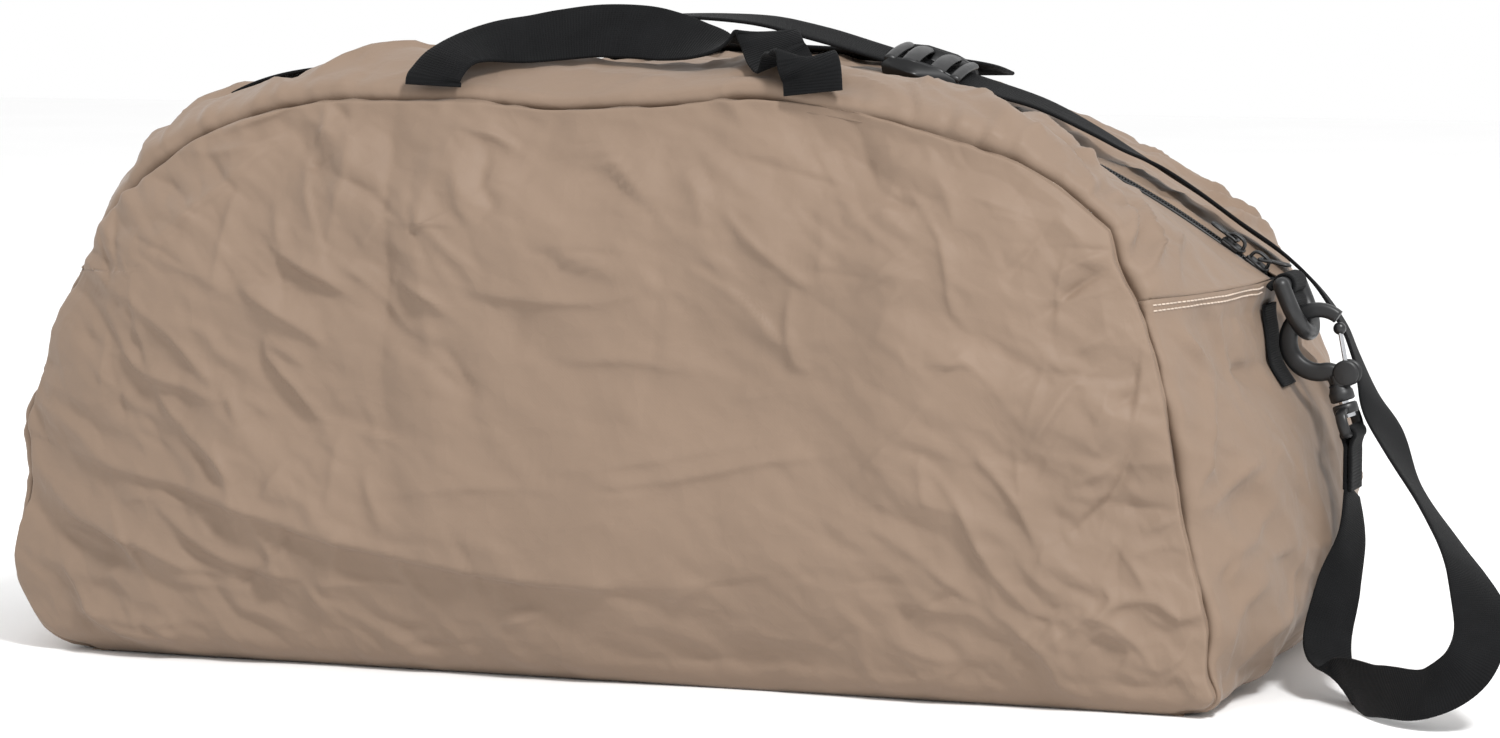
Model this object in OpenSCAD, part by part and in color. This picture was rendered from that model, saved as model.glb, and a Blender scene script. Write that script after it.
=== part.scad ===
// Packable duffel bag: a soft D-shaped shell with a zipped top gusset, two webbing handles, and a
// shoulder strap that clips to a D-ring at each end.
// Millimetres. +Z is up, -Y is the front. The origin is the middle of the base, on the ground.

/* [Shell] */
// Half of the widest part of the front panel
half_w = 314; // [300:1:330]
// Radius of the bottom corners, and the height at which the arch starts
corner_r = 38; // [30:1:45]
// Height of the arch above the bottom corners
arch_h = 257; // [250:1:264]
// Distance from the middle plane to the front and rear seams
seam_y = 140; // [130:1:145]
// Squareness of the front arch
n_front = 3; // [2.8:0.05:3.2]
// Squareness of the rear arch, which sags more
n_rear = 2.45; // [2.4:0.05:2.8]
// How far the front and rear panels bulge
panel_bulge = 20; // [18:1:24]
// Thickness that stands for the cloth
cloth_t = 1.5; // [1.2:0.1:1.8]

/* [Mouth] */
// Height of the line about which the mouth halves fold
fold_z = 198; // [195:1:200]
// Gap between the tub and the mouth halves that slide down inside it
tub_gap = 3; // [2.5:0.1:4]
// Height of the zip line at the middle
zip_top = 300; // [296:1:302]
// Distance from the middle to each end of the zip
zip_end_x = 298; // [296:1:299]
// Height of each end of the zip
zip_end_z = 199; // [198.5:0.5:200]
// Half width of the zip tape
tape_half = 13; // [11:1:15]

/* [Webbing] */
// Width of the handle webbing
handle_w = 30; // [25:1:32]
// Thickness of the handle webbing
handle_t = 2; // [1.5:0.1:2.5]
// Width of the shoulder strap
strap_w = 25; // [20:1:26]
// Thickness of the shoulder strap
strap_t = 1.8; // [1.2:0.1:2]

/* [Hardware] */
// Radius of the D-ring's bar
ring_r = 4.2; // [3.5:0.1:4.2]
// Radius of the hook's bar
hook_r = 4; // [3.5:0.1:4.2]
// Lean of the hooks towards the bag
hook_tilt = 18; // [16:1:20]

/* [Hidden] */
$fn = 48;

TAUPE = [0.62, 0.53, 0.46];
WEB = [0.09, 0.1, 0.11];
PLASTIC = [0.13, 0.14, 0.15];
STEEL = [0.55, 0.56, 0.58];

skin = 0.1;                                     // gap between neighbouring cloth pieces
bottom_gap = 0.5;                               // between the bottom panel and the end panels
tub_seam_y = seam_y + 2.5;
wall_gap = 2.2;                                 // between the tub walls and the mouth walls

// The zip lies on a circular arc in the plane y = 0.
zip_r = (zip_end_x * zip_end_x + pow(zip_top - zip_end_z, 2)) / (2 * (zip_top - zip_end_z));
zip_cz = zip_top - zip_r;
zip_end_a = asin(zip_end_x / zip_r);
zip_static_a = zip_end_a - 4.1;                 // beyond this angle the tape belongs to the tub
zip_split = 0.4;                                // angle left open between the two
tape_t = 0.8;
coil_h = 2.4;
coil_in = 1.3;
coil_out = 4;
slider_a = zip_end_a - 2.5;                     // the running slider, at the closed end
parked_a = zip_end_a - 0.75;                    // the second slider
pull_len = 15;                                  // from a slider's pin to the end of its pull

// Handles
handle_x = [-88, 110];                          // middle of each handle base
handle_lean = 29;                               // angle of the resting handle above horizontal
handle_lift = 5;                                // the pivot's height above the seam
handle_out = 3.4;                               // the pivot's distance outside the seam
rear_lean = 11;

// D-ring: the middle of its straight bar, and the lowest point of its bow
ring_x = 311.5;
ring_z = 196.5;
ring_half = 17.5;
ring_len = 26;

// Hook: its frame starts at the top of the swivel eye, with z along the hook
hook_x = 339.3;
hook_z = 138.6;
hook_c = [-3, 32];                              // middle of the C, in the hook's own x and z
hook_bow = 15.5;
hub = [6, 13];                                  // gate pivot
gate_len = 23.6;                                // from the pivot to the gate's cross-bar
eye_drop = 16.2;                                // from the hook's base to the webbing bar
bar_r = 2.2;
strap_end_x = hook_x + eye_drop * sin(hook_tilt);
strap_end_z = hook_z - eye_drop * cos(hook_tilt);
sewn_len = 28;
ring_tilt = atan2(hook_x - 17.6 - ring_x, ring_z - (hook_z + 33.9));

// Bulge of the end panels along their middle line, by height
END_BULGE = [[0, 0], [38, 15], [70, 22], [134, 9], [158, 1], [184, 9], [fold_z, 21.5]];

// Crown of the front gusset along it, from the left end at -1 to the right end at 1
FRONT_CROWN = [[-1, 5], [-0.85, 12], [-0.65, 18], [-0.4, 18], [-0.2, 13], [0, 9], [1, 5]];

rear_crown = 4.5;                               // crown of the rear gusset

// Shoulder strap: middle line points, each with the direction of the strap's width
STRAP = [
    [[344.3, 0, 94.6], [0, 1, 0]],
    [[347, -11, 72], [0.3, 1, 0]],
    [[344, -28, 48], [0.7, 0.8, 0]],
    [[344, -50, 23], [0.8, 0.6, -0.1]],
    [[360, -80, 8], [0.5, -0.2, -0.8]],
    [[384, -112, 14], [0, -0.4, -1]],
    [[408, -130, 17], [-0.1, -0.4, -1]],
    [[428, -132, 30], [0.8, -0.2, -0.6]],
    [[432, -117, 48], [0.9, 0.3, 0.2]],
    [[421, -92, 68], [0.9, 0.3, -0.5]],
    [[401, -62, 87], [0.7, 0.3, -0.7]],
    [[376, -26, 108], [0.6, 0.5, -0.7]],
    [[357, 12, 127], [0.6, 0.9, -0.3]],
    [[345, 30, 143], [0.1, 1, -0.2]],
    [[336, 38, 160], [-0.1, 1, -0.1]],
    [[329, 40, 174], [-0.1, 1, -0.1]],
    [[316, 40, 192], [-0.1, 1, -0.2]],
    [[299, 38, 208], [-0.1, 1, -0.2]],
    [[278, 34, 223], [-0.1, 1, -0.2]],
    [[257, 32, 238], [-0.1, 1, -0.2]],
    [[238, 34, 249], [-0.1, 1, -0.2]],
    [[219, 37, 258], [0, 1, -0.1]],
    [[200, 39, 268], [0, 1, 0]],
    [[172, 40, 281], [0, 1, 0.1]],
    [[142, 39, 290], [0, 1, 0.2]],
    [[112, 38, 299], [0, 1, 0.2]],
    [[82, 37, 308], [0, 1, 0.2]],
    [[52, 30, 317], [0, 1, 0.2]],
    [[20, 18, 324], [0, 1, 0.1]],
    [[-30, 2, 325], [0, 1, 0]],
    [[-80, -14, 317], [0, 1, 0]],
    [[-120, -36, 307], [0, 1, -0.1]],
    [[-155, -58, 301], [0, 1, -0.1]],
    [[-185, -76, 297], [0, 1, -0.1]],
    [[-205, -84, 292], [0, 1, -0.1]],
    [[-223, -86, 285], [0, 1, 0]],
    [[-242, -82, 274], [0, 1, 0]],
    [[-264, -62, 257], [0, 1, 0]],
    [[-288, -30, 235], [0, 1, 0]],
    [[-313, 4, 209], [0, 1, 0]],
    [[-334, 26, 180], [0, 1, 0]],
    [[-350, 36, 150], [0, 1, 0]],
    [[-362, 34, 116], [0.1, 1, 0]],
    [[-371, 24, 84], [0.2, 1, 0]],
    [[-371, 12, 58], [0.2, 1, 0]],
    [[-363, 4, 46], [0.1, 1, 0]],
    [[-352, 0, 58], [0, 1, 0]],
    [[-344.3, 0, 94.6], [0, 1, 0]]];
STRAP_STEPS = 2;                                // rings between two route points
ADJUST_I = 25;                                  // the route point under the adjuster

// ---- outlines ----------------------------------------------------------------------------------

function spow(v, p) = sign(v) * pow(abs(v), p);
function unit(v) = v / norm(v);

// Squareness of the arch at depth y, from the front seam to the rear seam
function arch_n(y) = n_front + (n_rear - n_front) * (y + seam_y) / (2 * seam_y);

// Half width of the shell at height z and depth y
function shell_x(z, y) = z < corner_r
    ? half_w - corner_r + sqrt(max(0, corner_r * corner_r - pow(corner_r - z, 2)))
    : half_w * pow(max(0, 1 - pow((z - corner_r) / arch_h, arch_n(y))), 1 / arch_n(y));

// Angle at which the arch at depth y comes down to the fold line
function arch_end(y) = acos(pow((fold_z - corner_r) / arch_h, arch_n(y) / 2));

// Point of the arch at depth y, for u from -1 (left end) to 1 (right end)
function arch_pt(u, y) = let (f = u * arch_end(y), k = 2 / arch_n(y))
    [half_w * spow(sin(f), k), y, corner_r + arch_h * pow(cos(f), k)];

function arch_z(x, y) = corner_r + arch_h * pow(1 - pow(abs(x) / half_w, arch_n(y)), 1 / arch_n(y));

// Point of the zip line, for u from -1 to 1
function zip_pt(u, y) = [zip_r * sin(u * zip_end_a), y, zip_cz + zip_r * cos(u * zip_end_a)];

// Depth of the front or rear wall of the tub at height z and side position s (-1 to 1)
function tub_y(z, s) = tub_seam_y
    + panel_bulge * (1 - pow(abs(s), 6)) * (1 - pow(1 - min(z / 90, 1), 2));

// Depth of the mouth's wall: it follows a circle about the fold line, then runs up to the seam
function mouth_y(z, x, y_side) =
    let (s = min(1, abs(x) / shell_x(fold_z, y_side)),
         top = max(1, arch_z(x, y_side) - fold_z),
         t = min(1, (z - fold_z) / top),
         r = tub_y(fold_z, s) - wall_gap,
         arc = sqrt(max(1, r * r - pow(z - fold_z, 2))))
    arc * (1 - pow(t, 4)) + seam_y * pow(t, 4);

// ---- thin curved sheets ------------------------------------------------------------------------

function at(g, i, j) = g[min(max(i, 0), len(g) - 1)][min(max(j, 0), len(g[0]) - 1)];
function outward(g, i, j) =
    let (c = cross(at(g, i + 1, j) - at(g, i - 1, j), at(g, i, j + 1) - at(g, i, j - 1)))
    c / norm(c);

// A sheet of thickness t behind the grid g of outer points. Rows cross columns point outward.
module sheet(g, t) {
    m = len(g);
    n = len(g[0]);
    outer = [for (i = [0:m - 1], j = [0:n - 1]) g[i][j]];
    inner = [for (i = [0:m - 1], j = [0:n - 1]) g[i][j] - t * outward(g, i, j)];
    function o(i, j) = i * n + j;
    function k(i, j) = m * n + i * n + j;
    faces = concat(
        [for (i = [0:m - 2], j = [0:n - 2]) each [
            [o(i, j), o(i, j + 1), o(i + 1, j + 1)], [o(i, j), o(i + 1, j + 1), o(i + 1, j)],
            [k(i, j), k(i + 1, j + 1), k(i, j + 1)], [k(i, j), k(i + 1, j), k(i + 1, j + 1)]]],
        [for (i = [0:m - 2]) each [
            [o(i, 0), o(i + 1, 0), k(i + 1, 0)], [o(i, 0), k(i + 1, 0), k(i, 0)],
            [o(i, n - 1), k(i + 1, n - 1), o(i + 1, n - 1)],
            [o(i, n - 1), k(i, n - 1), k(i + 1, n - 1)]]],
        [for (j = [0:n - 2]) each [
            [o(0, j), k(0, j + 1), o(0, j + 1)], [o(0, j), k(0, j), k(0, j + 1)],
            [o(m - 1, j), o(m - 1, j + 1), k(m - 1, j + 1)],
            [o(m - 1, j), k(m - 1, j + 1), k(m - 1, j)]]]);
    polyhedron(concat(outer, inner), faces, convexity = 6);
}

function steps(n) = [for (i = [0:n]) i / n];
TUB_Z = concat(
    [for (a = [0:22.5:67.5]) corner_r * (1 - cos(a))],
    [for (t = steps(6)) corner_r + (fold_z - corner_r) * t]);

// ---- tub ---------------------------------------------------------------------------------------

module bottom_panel()
    color(TAUPE) {
        flat_x = half_w - corner_r + tub_gap - bottom_gap;
        translate([-flat_x, -seam_y - 0.9, 0])
            cube([2 * flat_x, 2 * seam_y + 1.8, cloth_t]);
    }

// side is -1 for the front and 1 for the rear
module wall_panel(side)
    color(TAUPE)
        sheet([for (z = TUB_Z) [for (s = [-1:0.125:1])
            [side * s * (shell_x(z, side * seam_y) + tub_gap), side * tub_y(z, s), z]]], cloth_t);

function end_x(z, y) = shell_x(z, y) + tub_gap + lookup(z, END_BULGE) * (1 - pow(y / tub_seam_y, 2));

// side is -1 for the left and 1 for the right
module end_panel(side)
    color(TAUPE) {
        half_y = tub_seam_y - cloth_t - skin;
        rows = [for (z = TUB_Z) [for (v = [-1:0.25:1]) [side * end_x(z, side * v * half_y),
            side * v * half_y, z]]];
        sheet([for (r = rows) [for (i = [len(r) - 1:-1:0]) r[i]]], cloth_t);
    }

// Binding over the raw edges of a seam, inside the tub: a U up to binding_top on both sides
binding_lap = 9;
binding_t = 1.2;
binding_top = 110;
binding_in = 2.2;                               // from the shell's outline to the binding

// Half outline of the U, moved inwards by d
function u_half(d) = concat(
    [for (a = [0:22.5:90]) [half_w + tub_gap - corner_r + (corner_r - d) * sin(a),
        corner_r - (corner_r - d) * cos(a)]],
    [[shell_x(binding_top, 0) + tub_gap - d - 2, binding_top]]);
function mirrored_line(h) = concat(h, [for (i = [len(h) - 1:-1:0]) [-h[i][0], h[i][1]]]);

module seam_binding(side)
    color(TAUPE)
        translate([0, side * (tub_seam_y - cloth_t - 0.3) + (side < 0 ? binding_lap : 0), 0])
            rotate([90, 0, 0])
                linear_extrude(binding_lap)
                    difference() {
                        polygon(mirrored_line(u_half(binding_in)));
                        polygon([for (p = mirrored_line(u_half(binding_in + binding_t)))
                            [p[0], p[1] == binding_top ? binding_top + 1 : p[1]]]);
                    }

// ---- mouth halves ------------------------------------------------------------------------------

module upper_panel(side)
    color(TAUPE)
        sheet([for (t = steps(7)) [for (u = [-1:0.1:1])
            let (p = arch_pt(side * u, side * seam_y), z = fold_z + (p[2] - fold_z) * t)
            [p[0], side * mouth_y(z, p[0], side * seam_y), z + (abs(u) == 1 ? t * 0.6 : 0)]]], cloth_t);

// Half of the top gusset, from the arch seam to the zip tape
module gusset(side)
    color(TAUPE) {
        inner_y = seam_y - cloth_t - skin;
        sheet([for (v = steps(6)) [for (k = [-14:14])
            let (u = side * k / 14,
                 d = [sin(u * 60), 0, cos(u * 60)],
                 crown = (side < 0 ? lookup(u, FRONT_CROWN) : rear_crown) * 4 * v * (1 - v))
            arch_pt(u, side * inner_y) * (1 - v) + zip_pt(u, side * tape_half) * v + d * crown]],
            cloth_t);
    }

// A band of the zip: radii r0 to r1, depths y0 to y1, angles a0 to a1 from the top
module zip_band(r0, r1, y0, y1, a0, a1)
    translate([0, 0, zip_cz])
        rotate([90, 0, 0])
            rotate([0, 0, 90 - a1])
                rotate_extrude(angle = a1 - a0, $fn = 180)
                    translate([r0, -y1])
                        square([r1 - r0, y1 - y0]);

module zip_tape(side)
    color(WEB)
        zip_band(zip_r - tape_t, zip_r, side < 0 ? -tape_half + skin : coil_in,
            side < 0 ? -coil_in : tape_half - skin, -zip_static_a + zip_split, zip_static_a - zip_split);

module zip_coil(side)
    color(PLASTIC)
        zip_band(zip_r, zip_r + coil_h, side < 0 ? -coil_out : coil_in,
            side < 0 ? -coil_in : coil_out, -zip_static_a + zip_split, zip_static_a - zip_split);

// The last stretch of both tapes, sewn to the tub
module zip_tape_end(side)
    color(WEB)
        for (y0 = [-tape_half + 3, coil_in])
            zip_band(zip_r - tape_t, zip_r, y0, y0 + tape_half - 3 - coil_in,
                side < 0 ? -zip_end_a : zip_static_a, side < 0 ? -zip_static_a : zip_end_a);

module zip_coil_end(side)
    color(PLASTIC)
        for (y0 = [-coil_out, coil_in])
            zip_band(zip_r, zip_r + coil_h, y0, y0 + coil_out - coil_in,
                side < 0 ? -zip_end_a : zip_static_a, side < 0 ? -zip_static_a : zip_end_a);

module zip_cross_tab(side)
    color(WEB)
        translate([side * (zip_end_x + 4.4), 0, zip_end_z + 1.4])
            rotate([0, side * zip_end_a, 0])
                translate([-3, -11, -0.6])
                    cube([6, 22, 1.2]);

// Binding under the arch seam
module arch_binding(side)
    color(TAUPE) {
        lap = 9;
        pts = [for (u = [-0.9:0.1:0.91]) arch_pt(u, side * seam_y)];
        outer = [for (p = pts) let (f = atan2(p[0], p[2] - 60)) [p[0] - 3 * sin(f), p[2] - 3 * cos(f)]];
        inner = [for (p = pts) let (f = atan2(p[0], p[2] - 60))
            [p[0] - 4.2 * sin(f), p[2] - 4.2 * cos(f)]];
        translate([0, side < 0 ? -seam_y + cloth_t + 0.4 + lap : seam_y - cloth_t - 0.4, 0])
            rotate([90, 0, 0])
                linear_extrude(lap)
                    polygon(concat(outer, [for (i = [len(inner) - 1:-1:0]) inner[i]]));
    }

// ---- handles -----------------------------------------------------------------------------------

// Middle line of the handle in its own plane: x, and height above the base
HANDLE_LINE = [[handle_x[0], 0], [handle_x[0] + 1, 18], [-77, 42], [-55, 60], [-25, 70], [10, 69],
    [42, 62], [70, 51], [93, 34], [107, 17], [handle_x[1], 0]];

function line_dir(p, i) = unit(p[min(i + 1, len(p) - 1)] - p[max(i - 1, 0)]);
function side_line(p, d) = [for (i = [0:len(p) - 1])
    let (t = (i == 0 || i == len(p) - 1) ? [0, i == 0 ? 1 : -1] : line_dir(p, i))
    p[i] + d * [-t[1], t[0]]];

function handle_pivot(side) = [0, side * (seam_y + handle_out), arch_z(100, side * seam_y) + handle_lift];

module handle(side)
    color(WEB)
        translate(handle_pivot(side))
            mirror([0, side < 0 ? 0 : 1, 0])
                rotate([side < 0 ? handle_lean : rear_lean, 0, 0])
                    linear_extrude(handle_t)
                        polygon(concat(side_line(HANDLE_LINE, handle_w / 2),
                            [for (i = [len(HANDLE_LINE) - 1:-1:0])
                                side_line(HANDLE_LINE, -handle_w / 2)[i]]));

// The sewn ends of the handle, on the gusset beside the seam
module handle_tacks(side)
    color(WEB)
        for (x = handle_x)
            translate([x, side * (seam_y + 0.6), arch_z(x, side * seam_y) + 0.6])
                rotate([0, atan2(arch_z(x - 5, side * seam_y) - arch_z(x + 5, side * seam_y), 10), 0])
                    translate([-handle_w / 2, side < 0 ? -1.2 : 0, -9])
                        cube([handle_w, 1.2, 9]);

// ---- zip sliders -------------------------------------------------------------------------------

module at_zip(a)
    translate([0, 0, zip_cz])
        rotate([0, a, 0])
            translate([0, 0, zip_r])
                children();

module slider()
    color(PLASTIC) {
        difference() {
            union() {
                translate([-6, -5.5, -2.6])
                    cube([12, 11, 1.2]);
                translate([-6, -5.5, 3])
                    cube([12, 11, 1.4]);
                translate([-3, -0.8, -2.6])
                    cube([6, 1.6, 6]);
                translate([-4.5, -1.2, 4.4])
                    cube([9, 2.4, 4.2]);
            }
            translate([0, 5, 6.4])
                rotate([90, 0, 0])
                    cylinder(r = 1.5, h = 10);
        }
    }

// The pull hangs on a pin through the slider's bridge, and points along -x from it
module pull()
    color(PLASTIC) {
        translate([0, 3.4, 6.4])
            rotate([90, 0, 0])
                cylinder(r = 0.9, h = 6.8);
        for (y = [-3.4, 2])
            translate([-7, y, 5.6])
                cube([7.5, 1.4, 1.6]);
        difference() {
            translate([-pull_len, -3.4, 5.6])
                cube([pull_len - 7, 6.8, 1.6]);
            translate([3 - pull_len, 0, 5])
                cylinder(r = 1.4, h = 3);
        }
    }

module parked_slider()
    at_zip(parked_a) slider();

// The second pull leans outward over the D-ring's tab
module parked_pull()
    at_zip(parked_a)
        translate([0, 0, 6.4])
            rotate([0, 180 - zip_end_a + 12, 0])
                translate([0, 0, -6.4])
                    pull();

// ---- D-rings -----------------------------------------------------------------------------------

module mirrored(side)
    mirror([side < 0 ? 1 : 0, 0, 0])
        children();

module ring(side)
    color(PLASTIC)
        mirrored(side)
            translate([ring_x, 0, ring_z])
                rotate([0, -ring_tilt, 0]) {
                    translate([0, ring_half, 0])
                        rotate([90, 0, 0])
                            cylinder(r = ring_r, h = 2 * ring_half);
                    for (y = [-ring_half, ring_half]) {
                        translate([0, y, 0])
                            sphere(r = ring_r);
                        translate([0, y, ring_half - ring_len])
                            cylinder(r = ring_r, h = ring_len - ring_half);
                    }
                    translate([0, 0, ring_half - ring_len])
                        rotate([0, 90, 0])
                            rotate([0, 0, -90])
                                rotate_extrude(angle = 180)
                                    translate([ring_half, 0])
                                        circle(r = ring_r);
                }

// Webbing tab: a tube round the ring's bar
module ring_tab(side)
    color(WEB)
        mirrored(side)
            translate([ring_x, strap_w / 2, ring_z])
                rotate([90, 0, 0])
                    difference() {
                        cylinder(r = ring_r + 1.5, h = strap_w);
                        translate([0, 0, -1])
                            cylinder(r = ring_r + 0.2, h = strap_w + 2);
                    }

// Webbing patch sewn on the end panel under the ring's tab
module end_webbing(side)
    color(WEB) {
        zs = [for (i = [len(TUB_Z) - 4:len(TUB_Z) - 2]) TUB_Z[i]];
        rows = [for (z = zs) [for (y = [-12, 0, 12])
            [side * (end_x(z, 0) + 1.9 - 0.0012 * y * y), y, z]]];
        sheet([for (r = rows) side > 0 ? [r[2], r[1], r[0]] : r], 1.1);
    }

// ---- hooks -------------------------------------------------------------------------------------

module hook_frame(side)
    mirrored(side)
        translate([hook_x, 0, hook_z])
            rotate([0, -hook_tilt, 0])
                children();

// C-shaped hook with a round stem and a hub for the gate
module hook(side)
    color(PLASTIC)
        hook_frame(side)
            difference() {
                union() {
                    cylinder(r = 6, h = 8);
                    translate([hook_c[0], 0, hook_c[1]])
                        rotate([90, 0, 0])
                            rotate([0, 0, 35])
                                rotate_extrude(angle = 235)
                                    translate([hook_bow, 0])
                                        circle(r = hook_r);
                    translate([hub[0], 5, hub[1]])
                        rotate([90, 0, 0])
                            cylinder(r = 6.5, h = 10);
                    translate([-4, -4, 6])
                        cube([8, 8, 9]);
                }
                translate([hub[0] - 7, -2.8, hub[1] + 1.2])
                    cube([16, 5.6, 9]);
                translate([hub[0], 0, hub[1]])
                    rotate([90, 0, 0])
                        translate([0, 0, -2.8])
                            cylinder(r = 4.6, h = 5.6);
                translate([hub[0], 6, hub[1]])
                    rotate([90, 0, 0])
                        cylinder(r = 1.56, h = 12);
            }

module gate_pin(side)
    color(STEEL)
        hook_frame(side)
            translate([hub[0], 4.9, hub[1]])
                rotate([90, 0, 0])
                    cylinder(r = 1.5, h = 9.8);

// Two parallel wires from the hub to just under the hook's nose
module gate(side)
    color(STEEL)
        hook_frame(side) {
            translate([hub[0], 0, hub[1]])
                rotate([90, 0, 0])
                    translate([0, 0, -2.5])
                        difference() {
                            cylinder(r = 3.4, h = 5);
                            translate([0, 0, -1])
                                cylinder(r = 1.56, h = 7);
                        }
            for (y = [-1.5, 1.5])
                translate([hub[0], y, hub[1]])
                    rotate([0, 7.5, 0])
                        translate([0, 0, 2.8])
                            cylinder(r = 0.8, h = gate_len - 2.8);
            translate([hub[0], 2.7, hub[1]])
                rotate([0, 7.5, 0])
                    translate([0, 0, gate_len])
                        rotate([90, 0, 0])
                            cylinder(r = 1.1, h = 5.4);
        }

// The pin that holds the hook in its eye, with its head below the eye's collar
module swivel_pin(side)
    color(STEEL)
        hook_frame(side) {
            translate([0, 0, -8.2])
                cylinder(r = 4, h = 1.8);
            translate([0, 0, -6.4])
                cylinder(r = 2.5, h = 6.4);
        }

module swivel_eye(side)
    color(PLASTIC)
        hook_frame(side) {
            difference() {
                union() {
                    translate([0, 0, -6])
                        cylinder(r = 6, h = 5);
                    translate([-3, -16.5, -6])
                        cube([6, 33, 4]);
                }
                translate([0, 0, -7])
                    cylinder(r = 2.56, h = 7);
            }
            for (y = [-16.5, 13.3])
                translate([-3, y, -eye_drop - bar_r])
                    cube([6, 3.2, eye_drop + bar_r - 6]);
            translate([0, 13.3, -eye_drop])
                rotate([90, 0, 0])
                    cylinder(r = bar_r, h = 26.6);
        }

// The strap's sewn end: a tube round the eye's bar, and two layers of webbing below it
module strap_end(side)
    color(WEB)
        mirrored(side)
            translate([strap_end_x, 0, strap_end_z])
                difference() {
                    union() {
                        translate([0, strap_w / 2, 0])
                            rotate([90, 0, 0])
                                cylinder(r = bar_r + 1.9, h = strap_w);
                        translate([-strap_t, -strap_w / 2, -sewn_len])
                            cube([2 * strap_t, strap_w, sewn_len - 1.5]);
                    }
                    translate([0, strap_w, 0])
                        rotate([90, 0, 0])
                            cylinder(r = bar_r + 0.1, h = 2 * strap_w);
                }

// ---- shoulder strap ----------------------------------------------------------------------------

// Points of a smooth curve through the route: each is [position, width direction]
function cat(p0, p1, p2, p3, t) = 0.5 * (2 * p1 + (p2 - p0) * t
    + (2 * p0 - 5 * p1 + 4 * p2 - p3) * t * t + (3 * p1 - p0 - 3 * p2 + p3) * t * t * t);
function route(i) = STRAP[min(max(i, 0), len(STRAP) - 1)];
function strap_ring(i, t) = [for (k = [0, 1])
    cat(route(i - 1)[k], route(i)[k], route(i + 1)[k], route(i + 2)[k], t)];
STRAP_LINE = concat(
    [for (i = [0:len(STRAP) - 2], k = [0:STRAP_STEPS - 1]) strap_ring(i, k / STRAP_STEPS)],
    [strap_ring(len(STRAP) - 2, 1)]);
function strap_dir(i) = (i == 0) ? [0, 0, -1] : (i == len(STRAP_LINE) - 1) ? [0, 0, 1]
    : unit(STRAP_LINE[i + 1][0] - STRAP_LINE[i - 1][0]);

module shoulder_strap()
    color(WEB) {
        n = len(STRAP_LINE);
        lift = 0.6;                             // keeps the lowest edge off the ground
        rings = [for (i = [0:n - 1])
            let (d = strap_dir(i),
                 w0 = STRAP_LINE[i][1],
                 w = unit(w0 - d * (w0 * d)),
                 h = cross(d, w),
                 c = STRAP_LINE[i][0],
                 low = c[2] - abs(w[2]) * strap_w / 2 - abs(h[2]) * strap_t / 2,
                 p = c + [0, 0, max(0, lift - low)])
            [for (q = [[-1, -1], [-1, 1], [1, 1], [1, -1]])
                p + w * q[0] * strap_w / 2 + h * q[1] * strap_t / 2]];
        faces = concat(
            [[3, 2, 1], [3, 1, 0]],
            // the two broad faces are cut along the same diagonal, so a twist can't make them cross
            [for (i = [0:n - 2], j = [0:3]) let (a = 4 * i + j, b = 4 * i + (j + 1) % 4) each
                (j < 2 ? [[a, b, b + 4], [a, b + 4, a + 4]] : [[a, b, a + 4], [b, b + 4, a + 4]])],
            [[4 * n - 4, 4 * n - 3, 4 * n - 2], [4 * n - 4, 4 * n - 2, 4 * n - 1]]);
        polyhedron([for (r = rings) each r], faces, convexity = 10);
    }

// Adjuster: end bars over the strap, a middle bar under it, and a bowed top
module strap_adjuster()
    color(PLASTIC) {
        p = STRAP[ADJUST_I][0];
        d = unit(STRAP[ADJUST_I + 1][0] - STRAP[ADJUST_I - 1][0]);
        w0 = -STRAP[ADJUST_I][1];
        w = unit(w0 - d * (w0 * d));
        h = cross(w, d);
        m = [[-d[0], -w[0], h[0], p[0]], [-d[1], -w[1], h[1], p[1]], [-d[2], -w[2], h[2], p[2]],
            [0, 0, 0, 1]];
        len_half = 21;
        out = strap_w / 2 + 4.5;
        gap = strap_t / 2 + 0.5;
        multmatrix(m) {
            for (y = [-out, out - 3.6])
                translate([-len_half, y, -gap - 3])
                    cube([2 * len_half, 3.6, 2 * gap + 7]);
            for (x = [-len_half, len_half - 6])
                translate([x, -out, gap])
                    cube([6, 2 * out, 4]);
            translate([-4, -out, -gap - 3])
                cube([8, 2 * out, 3]);
        }
    }

// ---- one line per node -------------------------------------------------------------------------

bottom_panel();
wall_panel(-1);  // front_panel
wall_panel(1);  // rear_panel
end_panel(-1);  // left_end_panel
end_panel(1);  // right_end_panel
seam_binding(-1);  // front_seam_binding
seam_binding(1);  // rear_seam_binding
zip_tape_end(-1);  // left_zip_tape_end
zip_tape_end(1);  // right_zip_tape_end
zip_coil_end(-1);  // left_zip_coil_end
zip_coil_end(1);  // right_zip_coil_end
zip_cross_tab(-1);  // left_zip_cross_tab
zip_cross_tab(1);  // right_zip_cross_tab
parked_slider();
parked_pull();
upper_panel(-1);  // front_upper_panel
gusset(-1);  // front_gusset
zip_tape(-1);  // front_zip_tape
zip_coil(-1);  // front_zip_coil
arch_binding(-1);  // front_arch_binding
handle_tacks(-1);  // front_handle_tacks
upper_panel(1);  // rear_upper_panel
gusset(1);  // rear_gusset
zip_tape(1);  // rear_zip_tape
zip_coil(1);  // rear_zip_coil
arch_binding(1);  // rear_arch_binding
handle_tacks(1);  // rear_handle_tacks
handle(-1);  // front_handle
handle(1);  // rear_handle
at_zip(slider_a) slider();  // slider_body
at_zip(slider_a) pull();  // slider_pull
ring_tab(-1);  // left_ring_tab
ring_tab(1);  // right_ring_tab
end_webbing(-1);  // left_end_webbing
end_webbing(1);  // right_end_webbing
ring(-1);  // left_ring
ring(1);  // right_ring
hook(-1);  // left_hook
hook(1);  // right_hook
swivel_pin(-1);  // left_swivel_pin
swivel_pin(1);  // right_swivel_pin
gate(-1);  // left_gate
gate(1);  // right_gate
gate_pin(-1);  // left_gate_pin
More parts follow.
